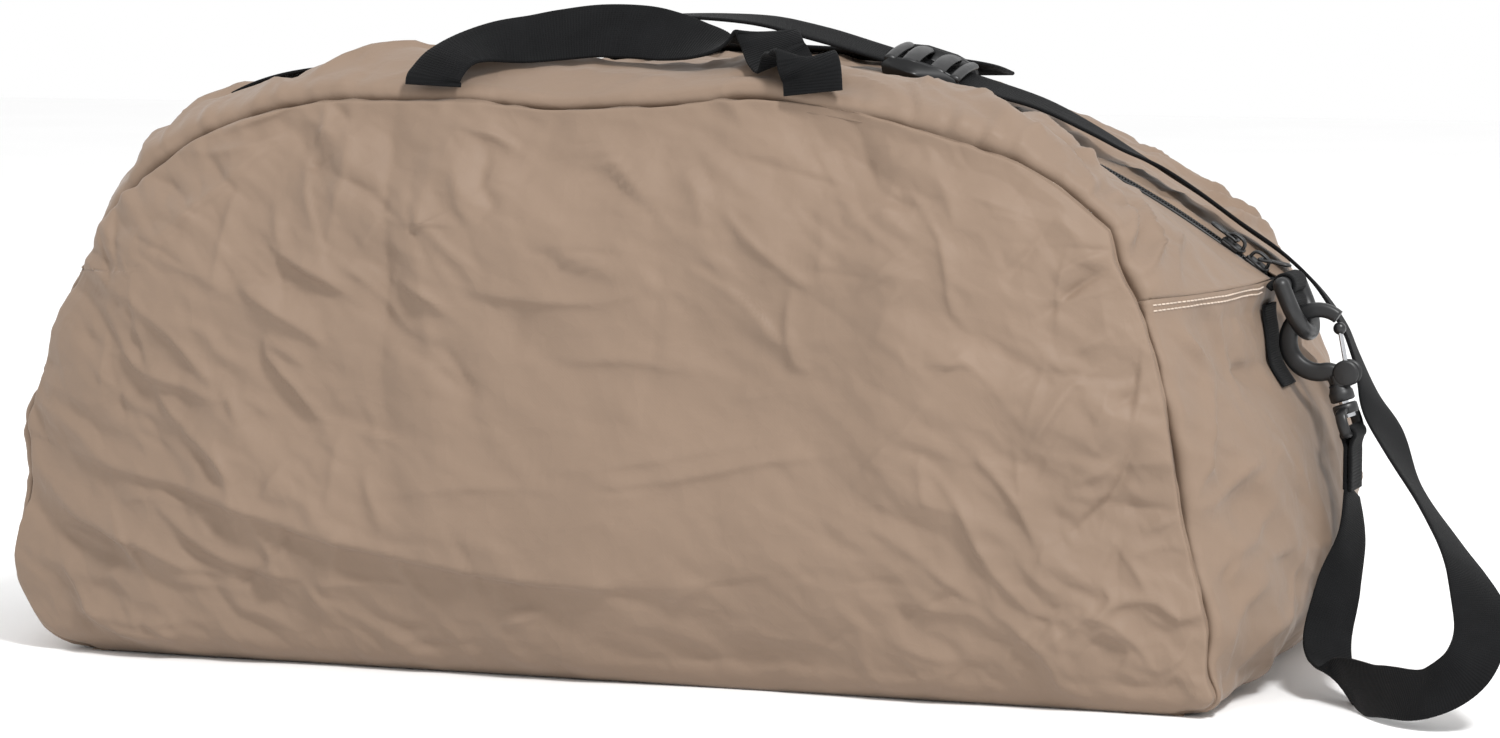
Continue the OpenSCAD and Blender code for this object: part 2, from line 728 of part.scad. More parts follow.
gate_pin(1);  // right_gate_pin
swivel_eye(-1);  // left_swivel_eye
swivel_eye(1);  // right_swivel_eye
strap_end(-1);  // left_strap_end
strap_end(1);  // right_strap_end
shoulder_strap();
strap_adjuster();
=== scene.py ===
"""Duffel bag: the soft shell, webbing, zip and hardware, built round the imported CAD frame.

Shapes are worked out in millimetres in the row frame (+Z up, -Y front) and stored in metres.
"""
import math

import bpy
import numpy as np
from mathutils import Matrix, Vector


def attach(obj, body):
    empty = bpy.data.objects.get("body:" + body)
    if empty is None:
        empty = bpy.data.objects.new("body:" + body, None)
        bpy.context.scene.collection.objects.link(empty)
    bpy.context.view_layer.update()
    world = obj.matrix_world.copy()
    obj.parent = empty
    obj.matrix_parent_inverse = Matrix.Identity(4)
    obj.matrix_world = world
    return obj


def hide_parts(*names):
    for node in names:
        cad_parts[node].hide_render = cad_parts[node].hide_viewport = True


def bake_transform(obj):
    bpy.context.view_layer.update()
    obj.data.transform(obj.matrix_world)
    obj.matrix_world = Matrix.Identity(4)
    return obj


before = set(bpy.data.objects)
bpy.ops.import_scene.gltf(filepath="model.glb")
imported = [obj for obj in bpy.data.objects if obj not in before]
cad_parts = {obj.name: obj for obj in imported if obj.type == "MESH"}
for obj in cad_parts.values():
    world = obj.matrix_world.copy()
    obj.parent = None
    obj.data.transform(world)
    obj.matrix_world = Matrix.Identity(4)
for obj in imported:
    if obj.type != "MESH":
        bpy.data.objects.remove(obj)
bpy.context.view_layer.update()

MM = 0.001

# ---- driving dimensions of the bag, in millimetres ----------------------------------------------

HALF_W = 314.0
CORNER_R = 38.0
ARCH_H = 257.0
SEAM_Y = 140.0
N_FRONT = 3.0
N_REAR = 2.45
BULGE = 20.0
FOLD_Z = 198.0
ZIP_TOP = 300.0
ZIP_END = (298.0, 199.0)
STRAP_W = 25.0
HOOK_TILT = math.radians(18)
END_BULGE = [(0, 0), (38, 15), (70, 22), (134, 9), (158, 1), (184, 9), (FOLD_Z, 21.5)]
TUB_GAP = 3.0

ZIP_R = (ZIP_END[0] ** 2 + (ZIP_TOP - ZIP_END[1]) ** 2) / (2 * (ZIP_TOP - ZIP_END[1]))
ZIP_CZ = ZIP_TOP - ZIP_R
ZIP_END_A = math.asin(ZIP_END[0] / ZIP_R)
SLIDER_A = ZIP_END_A - math.radians(2.5)
PARKED_A = ZIP_END_A - math.radians(0.75)

# How far the sewn front edge stands out of the plain outline, by height, at each end
RIGHT_SHIFT = [(0, 18), (8, 14), (20, 1), (45, -4), (65, -9), (95, -15), (130, -17), (160, -16),
               (197, -12), (217, -9), (232, 0)]
LEFT_SHIFT = [(0, 10), (25, 12), (45, 16), (60, 15), (75, 11), (100, 7), (120, 11), (140, 6),
              (175, 4), (200, 0), (228, 5), (250, 9), (270, 8), (290, 0)]
# How far the top of the front edge sags or stands up, along x
TOP_SAG = [(-230, 2), (-190, 4), (-150, 3), (-115, -1), (-75, -3.5), (-30, -8), (5, -7), (40, -5),
           (80, 0), (110, -1), (140, -2), (185, -3), (215, 0)]

# ---- camera -------------------------------------------------------------------------------------


def make_camera():
    """The photographed view: 20 degrees to the right of the front, a little above."""
    data = bpy.data.cameras.new("camera")
    data.lens = 111.36
    data.sensor_width = 36
    camera = bpy.data.objects.new("camera", data)
    bpy.context.scene.collection.objects.link(camera)
    camera.location = (0.8438, -2.2441, 0.3824)
    aim = Vector((0.027, 0, 0.144)) - camera.location
    camera.rotation_euler = aim.to_track_quat("-Z", "Y").to_euler()
    bpy.context.scene.camera = camera


make_camera()

# ---- mesh tools ---------------------------------------------------------------------------------


def lerp_table(table, at):
    """Linear look-up in a table of (place, value) pairs."""
    return np.interp(at, [p for p, _ in table], [v for _, v in table])


def smooth_table(table, at):
    """Look-up with a smooth curve through the pairs."""
    xs = np.array([p for p, _ in table], float)
    vs = np.array([v for _, v in table], float)
    at = np.clip(np.asarray(at, float), xs[0], xs[-1])
    i = np.clip(np.searchsorted(xs, at, side="right") - 1, 0, len(xs) - 2)
    slope = np.gradient(vs, xs)
    h = xs[i + 1] - xs[i]
    t = (at - xs[i]) / h
    return ((2 * t**3 - 3 * t**2 + 1) * vs[i] + (t**3 - 2 * t**2 + t) * h * slope[i]
            + (3 * t**2 - 2 * t**3) * vs[i + 1] + (t**3 - t**2) * h * slope[i + 1])


def make_object(name, verts, faces, materials, smooth=True, uv=None, face_material=None):
    """A mesh object from points in millimetres. uv holds one pair for each vertex."""
    mesh = bpy.data.meshes.new(name)
    mesh.from_pydata((np.asarray(verts, float) * MM).tolist(), [], faces)
    mesh.validate()
    obj = bpy.data.objects.new(name, mesh)
    bpy.context.scene.collection.objects.link(obj)
    for m in materials:
        mesh.materials.append(m)
    mesh.polygons.foreach_set("use_smooth", [smooth] * len(mesh.polygons))
    if face_material is not None:
        mesh.polygons.foreach_set("material_index", face_material)
    if uv is not None:
        layer = mesh.uv_layers.new(name="UVMap")
        loops = np.empty(len(mesh.loops), dtype=np.int32)
        mesh.loops.foreach_get("vertex_index", loops)
        layer.data.foreach_set("uv", (np.asarray(uv, float) * MM)[loops].ravel())
    mesh.update()
    return obj


def grid_faces(rows, cols, wrap=False):
    """Quads of a grid. wrap joins the last column to the first."""
    faces = []
    last = cols if wrap else cols - 1
    for i in range(rows - 1):
        for j in range(last):
            k = (j + 1) % cols
            faces.append((i * cols + j, i * cols + k, (i + 1) * cols + k, (i + 1) * cols + j))
    return faces


def unit(v):
    v = np.asarray(v, float)
    return v / np.maximum(np.linalg.norm(v, axis=-1, keepdims=True), 1e-9)


def grid_normals(grid):
    """Normal at each point of a grid, rows crossed with columns."""
    along = np.gradient(grid, axis=0)
    across = np.gradient(grid, axis=1)
    n = np.cross(along, across)
    size = np.linalg.norm(n, axis=-1, keepdims=True)
    flat = size[..., 0] < 1e-6
    n = n / np.maximum(size, 1e-6)
    n[flat] = n[~flat].mean(axis=0) if flat.any() else 0
    return n


def merge(parts):
    """One (points, faces) pair from many."""
    verts, faces, count = [], [], 0
    for v, f in parts:
        verts.append(np.asarray(v, float))
        faces += [tuple(i + count for i in face) for face in f]
        count += len(v)
    return np.concatenate(verts), faces


def placed(part, origin=(0, 0, 0), x=(1, 0, 0), z=(0, 0, 1)):
    """The part moved so that its x and z axes lie along the given directions."""
    z = unit(z)
    x = unit(np.asarray(x, float) - z * np.dot(x, z))
    y = np.cross(z, x)
    v = np.asarray(part[0], float)
    return np.asarray(origin, float) + v[:, :1] * x + v[:, 1:2] * y + v[:, 2:3] * z, part[1]


def plate(outline, z0, z1, bevel):
    """A flat plate of a 2-D outline (anticlockwise) from z0 to z1, with rounded edges."""
    pts = np.asarray(outline, float)
    before, after = np.roll(pts, 1, axis=0), np.roll(pts, -1, axis=0)
    a, b = unit(pts - before), unit(after - pts)
    inward = unit(np.stack([-(a + b)[:, 1], (a + b)[:, 0]], axis=1))
    rings = []
    for inset, z in ((1, z0), (0.3, z0 + 0.3 * bevel), (0, z0 + bevel),
                     (0, z1 - bevel), (0.3, z1 - 0.3 * bevel), (1, z1)):
        flat = pts + inward * inset * bevel
        rings.append(np.column_stack([flat, np.full(len(flat), z)]))
    n = len(pts)
    faces = grid_faces(len(rings), n, wrap=True)
    faces.append(tuple(range(n - 1, -1, -1)))
    faces.append(tuple(range((len(rings) - 1) * n, len(rings) * n)))
    return np.concatenate(rings), faces


def rounded_rect(w, h, r, steps=4):
    """Outline of a w by h rectangle with corner radius r, round its middle."""
    out = []
    for k, (sx, sy) in enumerate(((1, -1), (1, 1), (-1, 1), (-1, -1))):
        for i in range(steps + 1):
            a = math.radians(-90 + 90 * k + 90 * i / steps)
            out.append((sx * (w / 2 - r) + r * math.cos(a), sy * (h / 2 - r) + r * math.sin(a)))
    return out


def block(w, d, h, bevel, at=(0, 0, 0)):
    """A w by d by h block with rounded edges, centred on at."""
    v, f = plate(rounded_rect(w, d, min(w, d) * 0.25), -h / 2, h / 2, bevel)
    return v + np.asarray(at, float), f


def lathe(profile, sides=28):
    """A turned part: profile is a list of (radius, height), from the bottom up."""
    angles = np.linspace(0, 2 * math.pi, sides, endpoint=False)
    rings = [np.column_stack([r * np.cos(angles), r * np.sin(angles), np.full(sides, z)])
             for r, z in profile]
    faces = grid_faces(len(rings), sides, wrap=True)
    faces.append(tuple(range(sides - 1, -1, -1)))
    faces.append(tuple(range((len(rings) - 1) * sides, len(rings) * sides)))
    return np.concatenate(rings), faces


def sweep(points, section, side_dirs):
    """A closed section of (across, out) pairs carried along points; side_dirs is the across axis."""
    pts = np.asarray(points, float)
    tangents = unit(np.gradient(pts, axis=0))
    across = np.asarray(side_dirs, float)
    across = unit(across - tangents * np.sum(across * tangents, axis=1, keepdims=True))
    out = np.cross(across, tangents)
    section = np.asarray(section, float)
    if section.ndim == 2:
        section = np.repeat(section[None], len(pts), axis=0)
    rings = (pts[:, None] + section[..., :1] * across[:, None] + section[..., 1:2] * out[:, None])
    n = section.shape[1]
    faces = grid_faces(len(pts), n, wrap=True)
    faces.append(tuple(range(n - 1, -1, -1)))
    faces.append(tuple(range((len(pts) - 1) * n, len(pts) * n)))
    return rings.reshape(-1, 3), faces


def ellipse(rx, ry, sides=14):
    a = np.linspace(0, 2 * math.pi, sides, endpoint=False)
    return np.column_stack([rx * np.cos(a), ry * np.sin(a)])


def spline(points, per_span):
    """Catmull-Rom curve through rows of numbers, with per_span points in each span."""
    p = np.asarray(points, float)
    p = np.concatenate([p[:1], p, p[-1:]])
    t = np.linspace(0, 1, per_span, endpoint=False)[:, None]
    spans = [0.5 * (2 * p[i] + (p[i + 1] - p[i - 1]) * t
                    + (2 * p[i - 1] - 5 * p[i] + 4 * p[i + 1] - p[i + 2]) * t**2
                    + (3 * p[i] - p[i - 1] - 3 * p[i + 1] + p[i + 2]) * t**3)
             for i in range(1, len(p) - 2)]
    return np.concatenate(spans + [p[-1:]])


def even_steps(rows, step):
    """Rows whose first three numbers are a place, resampled at even distances."""
    gaps = np.linalg.norm(np.diff(rows[:, :3], axis=0), axis=1)
    s = np.concatenate([[0], np.cumsum(gaps)])
    at = np.linspace(0, s[-1], int(s[-1] / step) + 1)
    return np.column_stack([np.interp(at, s, rows[:, k]) for k in range(rows.shape[1])]), at


# ---- noise --------------------------------------------------------------------------------------


def lattice(ix, iy, seed):
    """A repeatable random number from -1 to 1 for each whole-number place."""
    h = (ix.astype(np.int64) * 73856093) ^ (iy.astype(np.int64) * 19349663) ^ (seed * 83492791)
    h = (h ^ (h >> 13)) * 1274126177 & 0x7FFFFFFF
    h = (h ^ (h >> 15)) & 0xFFFF
    return h / 32767.5 - 1


def soft_noise(x, y, seed):
    """Smooth noise with a cell of 1."""
    ix, iy = np.floor(x), np.floor(y)
    fx, fy = x - ix, y - iy
    fx, fy = fx * fx * (3 - 2 * fx), fy * fy * (3 - 2 * fy)
    a, b = lattice(ix, iy, seed), lattice(ix + 1, iy, seed)
    c, d = lattice(ix, iy + 1, seed), lattice(ix + 1, iy + 1, seed)
    return (a * (1 - fx) + b * fx) * (1 - fy) + (c * (1 - fx) + d * fx) * fy


def facet_noise(x, y, seed):
    """Noise made of flat triangles with sharp edges, as in crumpled nylon. The cell is 1."""
    bend = 0.35
    x, y = (x + bend * soft_noise(x * 0.9, y * 0.9, seed + 11),
            y + bend * soft_noise(x * 0.9 + 7, y * 0.9, seed + 12))
    u, v = x + 0.5 * y, y * 0.866
    ix, iy = np.floor(u), np.floor(v)
    fx, fy = u - ix, v - iy
    a, b = lattice(ix, iy, seed), lattice(ix + 1, iy, seed)
    c, d = lattice(ix, iy + 1, seed), lattice(ix + 1, iy + 1, seed)
    low = fx + fy < 1
    return np.where(low, a + (b - a) * fx + (c - a) * fy,
                    d + (c - d) * (1 - fx) + (b - d) * (1 - fy))


def line_noise(s, seed):
    """Smooth noise along a line."""
    return soft_noise(s, np.full_like(s, 0.37), seed)


# ---- creases ------------------------------------------------------------------------------------


CREASE_WIDTH = 0.62     # how wide each crease is against its listed width


def crease_height(x, y, points, height, left, right, step=0.0):
    """Height of one crease at places x, y. It peaks along the line through points and falls away
    over `left` on its left and `right` on its right. step adds a ledge, high on the left side."""
    pts = np.asarray(points, float)
    left, right = left * CREASE_WIDTH, right * CREASE_WIDTH
    reach = 4 * max(left, right)
    near = ((x > pts[:, 0].min() - reach) & (x < pts[:, 0].max() + reach)
            & (y > pts[:, 1].min() - reach) & (y < pts[:, 1].max() + reach))
    out = np.zeros_like(x)
    if not near.any():
        return out
    px, py = x[near], y[near]
    best = np.full(px.shape, 1e9)
    signed = np.zeros_like(px)
    along = np.zeros_like(px)
    gaps = np.linalg.norm(np.diff(pts, axis=0), axis=1)
    starts = np.concatenate([[0], np.cumsum(gaps)])
    for k in range(len(pts) - 1):
        dx, dy = (pts[k + 1] - pts[k]) / gaps[k]
        rx, ry = px - pts[k, 0], py - pts[k, 1]
        t = np.clip(rx * dx + ry * dy, 0, gaps[k])
        gap = np.hypot(rx - t * dx, ry - t * dy)
        closer = gap < best
        best = np.where(closer, gap, best)
        signed = np.where(closer, np.where(dx * ry - dy * rx > 0, gap, -gap), signed)
        along = np.where(closer, (starts[k] + t) / starts[-1], along)
    soft = np.sqrt(best**2 + 1.0) - 1.0
    fade = np.sin(math.pi * np.clip(along, 0.02, 0.98)) ** 0.7
    shape = height * np.exp(-soft / np.where(signed > 0, left, right))
    if step:
        shape = shape + step * np.tanh(signed / 1.6) * np.exp(-soft / (0.8 * (left + right)))
    out[near] = shape * fade
    return out


def smooth_line(points):
    """A crease's points, rounded off with one more point in each span."""
    return spline(points, 2)


def crease_field(x, y, creases):
    """Sum of given creases: (points, height, left, right, step)."""
    total = np.zeros_like(x)
    for points, height, left, right, step in creases:
        total += crease_height(x, y, smooth_line(points), height, left, right, step)
    return total


def random_creases(rng, count, box, angle, spread, length, height):
    """Short random creases in a box (x0, x1, y0, y1), lying about one angle in degrees."""
    made = []
    for _ in range(count):
        cx, cy = rng.uniform(box[0], box[1]), rng.uniform(box[2], box[3])
        a = math.radians(angle + rng.normal(0, spread))
        half = rng.uniform(*length) / 2
        bow = rng.normal(0, 0.13) * half
        dx, dy = math.cos(a), math.sin(a)
        pts = [(cx - dx * half, cy - dy * half), (cx - dy * bow, cy + dx * bow),
               (cx + dx * half, cy + dy * half)]
        sign = 1 if rng.uniform() < 0.6 else -1
        made.append((pts, sign * rng.uniform(*height), rng.uniform(2.5, 9), rng.uniform(2.5, 9),
                     rng.normal(0, 0.35) * height[1]))
    return made


# ---- outline of the bag -------------------------------------------------------------------------


def arch_n(y):
    return N_FRONT + (N_REAR - N_FRONT) * (y + SEAM_Y) / (2 * SEAM_Y)


def shell_x(z, y):
    """Half width of the bag at height z and depth y."""
    z = np.asarray(z, float)
    n = arch_n(y)
    low = HALF_W - CORNER_R + np.sqrt(np.maximum(0, CORNER_R**2 - (CORNER_R - z) ** 2))
    high = HALF_W * np.maximum(0, 1 - (np.maximum(z - CORNER_R, 0) / ARCH_H) ** n) ** (1 / n)
    return np.where(z < CORNER_R, low, high)


def arch_point(u, y):
    """x and z of the arch at depth y, for u from -1 (left) to 1 (right)."""
    n = arch_n(y)
    f = u * math.acos(((FOLD_Z - CORNER_R) / ARCH_H) ** (n / 2))
    x = HALF_W * np.sign(np.sin(f)) * np.abs(np.sin(f)) ** (2 / n)
    return x, CORNER_R + ARCH_H * np.cos(f) ** (2 / n)


def rim_shift(side, z):
    return smooth_table(RIGHT_SHIFT if side > 0 else LEFT_SHIFT, z)


def front_rim_x(side, z):
    """x of the sewn front edge below the fold line."""
    return side * (shell_x(z, -SEAM_Y) + rim_shift(side, z))


def front_arch(u):
    """x and z of the sewn front edge above the fold line."""
    u = np.asarray(u, float)
    x, z = arch_point(u, -SEAM_Y)
    shift = np.where(u > 0, rim_shift(1, z), -rim_shift(-1, z))
    return x + shift, z + smooth_table(TOP_SAG, x) * np.clip((240 - np.abs(x)) / 20, 0, 1)


def rear_rim_x(side, z):
    return side * (shell_x(z, SEAM_Y) + 1.5)


def rear_arch(u):
    x, z = arch_point(np.asarray(u, float), SEAM_Y)
    return x + 1.5 * np.asarray(u, float), z


def seam_depth(z):
    """Distance of the front and rear seams from the middle plane: the base's edge is rounded."""
    return SEAM_Y - 7 * (1 - np.clip(np.asarray(z, float) / 12, 0, 1)) ** 2


def wall_bulge(z, s):
    return BULGE * (1 - np.abs(s) ** 6) * (1 - (1 - np.clip(z / 90, 0, 1)) ** 2)


TUB_ROWS = 124
UPPER_ROWS = 78


def wall_grid(side, cols):
    """Front (side -1) or rear (side 1) wall as a grid of points, and its coordinates s and t."""
    u = np.linspace(-1, 1, cols)
    arch_x, arch_z = front_arch(u) if side < 0 else rear_arch(u)
    left, right = arch_x[0], arch_x[-1]
    s = (arch_x - left) / (right - left)
    rows = []
    for z in FOLD_Z * np.linspace(0, 1, TUB_ROWS):
        rim = front_rim_x if side < 0 else rear_rim_x
        x = rim(-1, z) + (rim(1, z) - rim(-1, z)) * s
        y = side * (seam_depth(z) + wall_bulge(z, 2 * s - 1))
        rows.append(np.column_stack([x, y, np.full(cols, z)]))
    for t in np.linspace(0, 1, UPPER_ROWS)[1:]:
        z = FOLD_Z + (arch_z - FOLD_Z) * t
        r = SEAM_Y + wall_bulge(FOLD_Z, 2 * s - 1)
        arc = np.sqrt(np.maximum(1, r**2 - (z - FOLD_Z) ** 2))
        y = side * (arc * (1 - t**4) + SEAM_Y * t**4)
        rows.append(np.column_stack([arch_x, y, z]))
    return np.array(rows)


def wall_rim(side, samples=240):
    """The sewn edge of the front or rear wall as a polyline of (x, z), from the left foot."""
    rim = front_rim_x if side < 0 else rear_rim_x
    z = FOLD_Z * np.linspace(0, 1, samples // 3)
    ax, az = front_arch(np.linspace(-1, 1, samples)) if side < 0 else rear_arch(
        np.linspace(-1, 1, samples))
    left = np.column_stack([rim(-1, z), z])
    right = np.column_stack([rim(1, z[::-1]), z[::-1]])
    return np.concatenate([left, np.column_stack([ax, az])[1:-1], right])


def to_line(x, y, line):
    """Distance from places to a polyline, and the distance along it of the nearest point."""
    best = np.full(x.shape, 1e9)
    along = np.zeros_like(x)
    gaps = np.linalg.norm(np.diff(line, axis=0), axis=1)
    starts = np.concatenate([[0], np.cumsum(gaps)])
    for k in range(len(line) - 1):
        if gaps[k] < 1e-6:
            continue
        dx, dy = (line[k + 1] - line[k]) / gaps[k]
        rx, ry = x - line[k, 0], y - line[k, 1]
        t = np.clip(rx * dx + ry * dy, 0, gaps[k])
        gap = np.hypot(rx - t * dx, ry - t * dy)
        closer = gap < best
        best = np.where(closer, gap, best)
        along = np.where(closer, starts[k] + t, along)
    return best, along


def seam_groove(edge, x, z):
    """How far cloth is drawn in near a sewn edge. Both pieces at a seam use the same rule."""
    pull = 3.8 + 0.9 * soft_noise(x / 27, z / 27, 51) + 0.8 * soft_noise(x / 9, z / 9, 52)
    return pull * np.exp(-((edge / 2.4) ** 2))


def seam_puckers(edge, along, seed, size):
    """Small ridges across a sewn edge, fading away from it."""
    waves = line_noise(along / 7, seed) + 0.7 * line_noise(along / 15, seed + 1)
    keep = 0.35 + 0.65 * np.clip(line_noise(along / 60, seed + 2) + 0.4, 0, 1)
    return size * waves * keep * np.exp(-edge / 15) * np.clip(edge / 2, 0, 1)


# ---- creases of the front wall, in x and z ------------------------------------------------------
# Each is (points, height, fall on the left, fall on the right, ledge), seen from the front.

FRONT_CREASES = [
    # the long sag line across the lower half, and the folds under it
    ([(-300, 108), (-262, 97), (-222, 90), (-180, 78), (-140, 68), (-100, 61), (-60, 55), (-20, 52),
      (30, 51), (62, 55)], 2.2, 34, 9, 1.5),
    ([(-300, 83), (-284, 70), (-262, 63), (-240, 58), (-220, 49), (-198, 46)], 1.8, 14, 6, 1.0),
    ([(-243, 85), (-224, 71), (-206, 58), (-188, 50), (-165, 47), (-148, 44)], 1.5, 12, 6, 0.9),
    ([(-297, 52), (-286, 33), (-271, 18), (-250, 12), (-226, 9)], 1.7, 10, 7, 0.8),
    ([(-156, 46), (-148, 34), (-140, 26)], 1.0, 7, 5, 0.4),
    ([(-246, 21), (-238, 17), (-228, 11)], 0.9, 6, 4, 0.4),
    ([(-300, 20), (-275, 23), (-250, 20), (-215, 22)], 1.0, 8, 6, 0.5),
    ([(30, 51), (44, 46), (62, 54)], 0.9, 8, 5, 0.5),
    ([(-95, 46), (-120, 47), (-150, 45)], 1.0, 9, 6, 0.4),
    ([(60, 30), (90, 27), (125, 24)], 0.6, 10, 7, 0.2),
    # diagonal folds on the left
    ([(-262, 178), (-251, 158), (-240, 146), (-217, 141), (-198, 134), (-194, 140)], 1.6, 10, 6, 0.9),
    ([(-245, 181), (-225, 167), (-210, 152), (-198, 140)], 1.4, 9, 5, 1.0),
    ([(-195, 140), (-186, 122)], 1.3, 7, 5, 0.7),
    ([(-166, 211), (-151, 203), (-140, 198), (-127, 190)], 1.7, 10, 5, 1.4),
    ([(-187, 198), (-178, 188), (-161, 178), (-138, 165)], 1.5, 9, 5, 1.0),
    ([(-172, 171), (-171, 158), (-156, 142), (-149, 133), (-142, 128)], 1.4, 7, 5, 1.0),
    ([(-173, 168), (-160, 160), (-148, 152)], 0.9, 7, 4, 0.4),
    ([(-222, 120), (-210, 113), (-199, 105), (-192, 97), (-189, 92)], 1.5, 8, 5, 1.1),
    ([(-237, 142), (-226, 128), (-213, 117)], 1.2, 8, 5, 0.7),
    ([(-170, 236), (-164, 212)], 1.1, 9, 7, 0.4),
    ([(-232, 206), (-205, 196), (-188, 186)], 0.9, 11, 8, 0.4),
    ([(-192, 245), (-196, 222), (-199, 190)], 1.3, 12, 9, 0.3),
    ([(-240, 204), (-222, 222), (-180, 258), (-165, 272)], 1.5, 14, 9, 0.6),
    ([(-222, 258), (-196, 258), (-168, 268)], 1.2, 9, 7, 0.6),
    ([(-205, 268), (-178, 277), (-158, 287)], 1.7, 8, 4, 1.0),
    ([(-150, 290), (-146, 272), (-152, 262)], 1.3, 6, 6, 0.3),
    ([(-136, 290), (-131, 262), (-133, 240), (-139, 208)], 1.9, 13, 16, 0.0),
    ([(-133, 124), (-136, 98), (-139, 78)], 1.2, 9, 11, 0.3),
    ([(-120, 105), (-114, 88), (-107, 74)], 1.1, 7, 6, 0.5),
    ([(-160, 108), (-168, 96), (-174, 86)], 1.0, 7, 6, 0.3),
    # broad upright folds left of the middle
    ([(-112, 285), (-108, 240), (-106, 200), (-110, 150), (-104, 118)], -2.6, 17, 20, 0.0),
    ([(-84, 268), (-88, 225), (-84, 175), (-80, 140)], 1.7, 15, 17, 0.0),
    ([(-100, 197), (-86, 191), (-73, 181)], 1.4, 9, 5, 1.0),
    ([(-76, 172), (-66, 156), (-53, 140)], -1.5, 12, 10, 0.5),
    ([(-57, 268), (-56, 245), (-49, 236), (-60, 224)], -1.6, 9, 8, 0.3),
    ([(-68, 271), (-54, 268), (-41, 261)], 1.3, 8, 4, 0.9),
    ([(-120, 235), (-104, 228), (-86, 225), (-100, 245)], 1.2, 8, 6, 0.5),
    ([(-124, 205), (-112, 222), (-100, 238)], 1.0, 8, 7, 0.3),
    # short folds round the middle
    ([(-6, 265), (6, 258), (17, 249), (31, 237)], 1.5, 9, 4, 1.1),
    ([(-22, 219), (-8, 210), (6, 206), (18, 200)], 1.0, 9, 6, 0.6),
    ([(-62, 194), (-38, 190), (-8, 189), (18, 192)], 1.1, 11, 9, 0.6),
    ([(-22, 163), (0, 160), (20, 162), (62, 156)], 0.8, 11, 9, 0.4),
    ([(16, 152), (20, 138), (30, 127)], 0.7, 8, 8, 0.2),
    ([(46, 256), (54, 243), (60, 226)], 1.0, 7, 6, 0.5),
    ([(64, 248), (74, 231), (90, 216), (106, 204), (118, 196)], 1.3, 9, 7, 0.5),
    ([(104, 202), (102, 182), (107, 163), (118, 161)], 1.2, 7, 6, 0.6),
    ([(80, 192), (90, 181), (102, 169)], 0.8, 8, 7, 0.3),
    ([(-24, 106), (10, 110), (40, 115), (70, 121), (102, 127)], 0.9, 9, 9, 0.3),
    ([(5, 100), (40, 104), (70, 110), (95, 116), (128, 119)], 1.1, 10, 7, 0.5),
    ([(-110, 90), (-60, 97), (-8, 97)], 0.9, 10, 10, 0.3),
    ([(-20, 285), (-24, 270), (-30, 258)], -0.9, 10, 10, 0.2),
    ([(10, 288), (14, 275), (20, 262)], -1.1, 10, 9, 0.2),
    ([(60, 215), (72, 205), (76, 190)], 0.7, 9, 8, 0.2),
    ([(116, 240), (120, 222), (118, 200)], 0.9, 11, 9, 0.2),
    # folds that run out from the arch seam on the right
    ([(128, 284), (138, 262), (150, 246), (166, 240)], -1.7, 12, 10, 0.3),
    ([(166, 242), (178, 226), (183, 206), (186, 190), (200, 178)], 1.3, 10, 9, 0.5),
    ([(168, 266), (180, 245), (186, 228)], 0.9, 9, 8, 0.2),
    ([(128, 226), (142, 236), (158, 238)], 0.9, 9, 8, 0.3),
    ([(140, 178), (158, 196), (174, 210)], 0.8, 10, 9, 0.2),
    ([(187, 172), (204, 158), (214, 146)], 0.9, 8, 7, 0.4),
    ([(262, 214), (248, 205), (234, 193), (226, 188)], -2.0, 9, 7, 0.7),
    ([(262, 222), (244, 216), (232, 208)], 1.2, 7, 6, 0.5),
    ([(262, 183), (248, 177), (236, 172)], 0.9, 6, 5, 0.5),
    # lower right: radiating folds and small facets
    ([(178, 113), (190, 98), (196, 84), (203, 72), (212, 60), (226, 48), (240, 43)], 1.7, 9, 7, 0.8),
    ([(196, 124), (210, 110), (220, 96), (228, 78)], 1.6, 9, 6, 0.9),
    ([(216, 130), (219, 112), (222, 98)], 1.0, 7, 7, 0.3),
    ([(222, 118), (232, 138), (244, 156), (252, 162)], 1.3, 9, 6, 0.7),
    ([(240, 86), (254, 98), (265, 111), (270, 126), (273, 137)], -1.7, 8, 7, 0.8),
    ([(172, 70), (184, 61), (198, 52)], 1.3, 7, 6, 0.7),
    ([(150, 50), (172, 48), (200, 45)], 0.9, 7, 6, 0.4),
    ([(208, 46), (222, 35), (233, 22), (236, 8)], 1.5, 8, 6, 0.7),
    ([(146, 34), (162, 27), (180, 22), (196, 22)], 1.0, 8, 6, 0.5),
    ([(216, 76), (230, 62), (240, 56)], 1.0, 7, 6, 0.5),
    ([(240, 46), (256, 47), (272, 36), (282, 22)], 1.4, 7, 5, 0.7),
    ([(258, 48), (270, 55), (284, 54), (294, 47), (308, 52)], 1.4, 6, 5, 0.8),
    ([(256, 64), (262, 56), (252, 44)], 1.1, 6, 5, 0.5),
    ([(244, 28), (258, 40), (270, 30), (262, 16)], 1.0, 6, 5, 0.5),
    ([(264, 82), (272, 72), (280, 58)], 1.0, 6, 5, 0.4),
    ([(270, 26), (284, 22), (296, 30), (302, 44)], 1.1, 6, 5, 0.5),
    ([(282, 10), (292, 20), (306, 16)], 1.1, 5, 4, 0.5),
    ([(258, 103), (278, 101), (296, 99)], -1.5, 6, 5, 0.5),
    ([(276, 88), (288, 93), (297, 98)], 1.3, 5, 4, 0.5),
    ([(266, 120), (280, 121), (292, 121)], 0.9, 5, 5, 0.3),
    ([(270, 76), (286, 82), (300, 80)], 0.8, 6, 5, 0.3),
]


RELIEF = 2.2            # how much deeper every crease is than its listed height


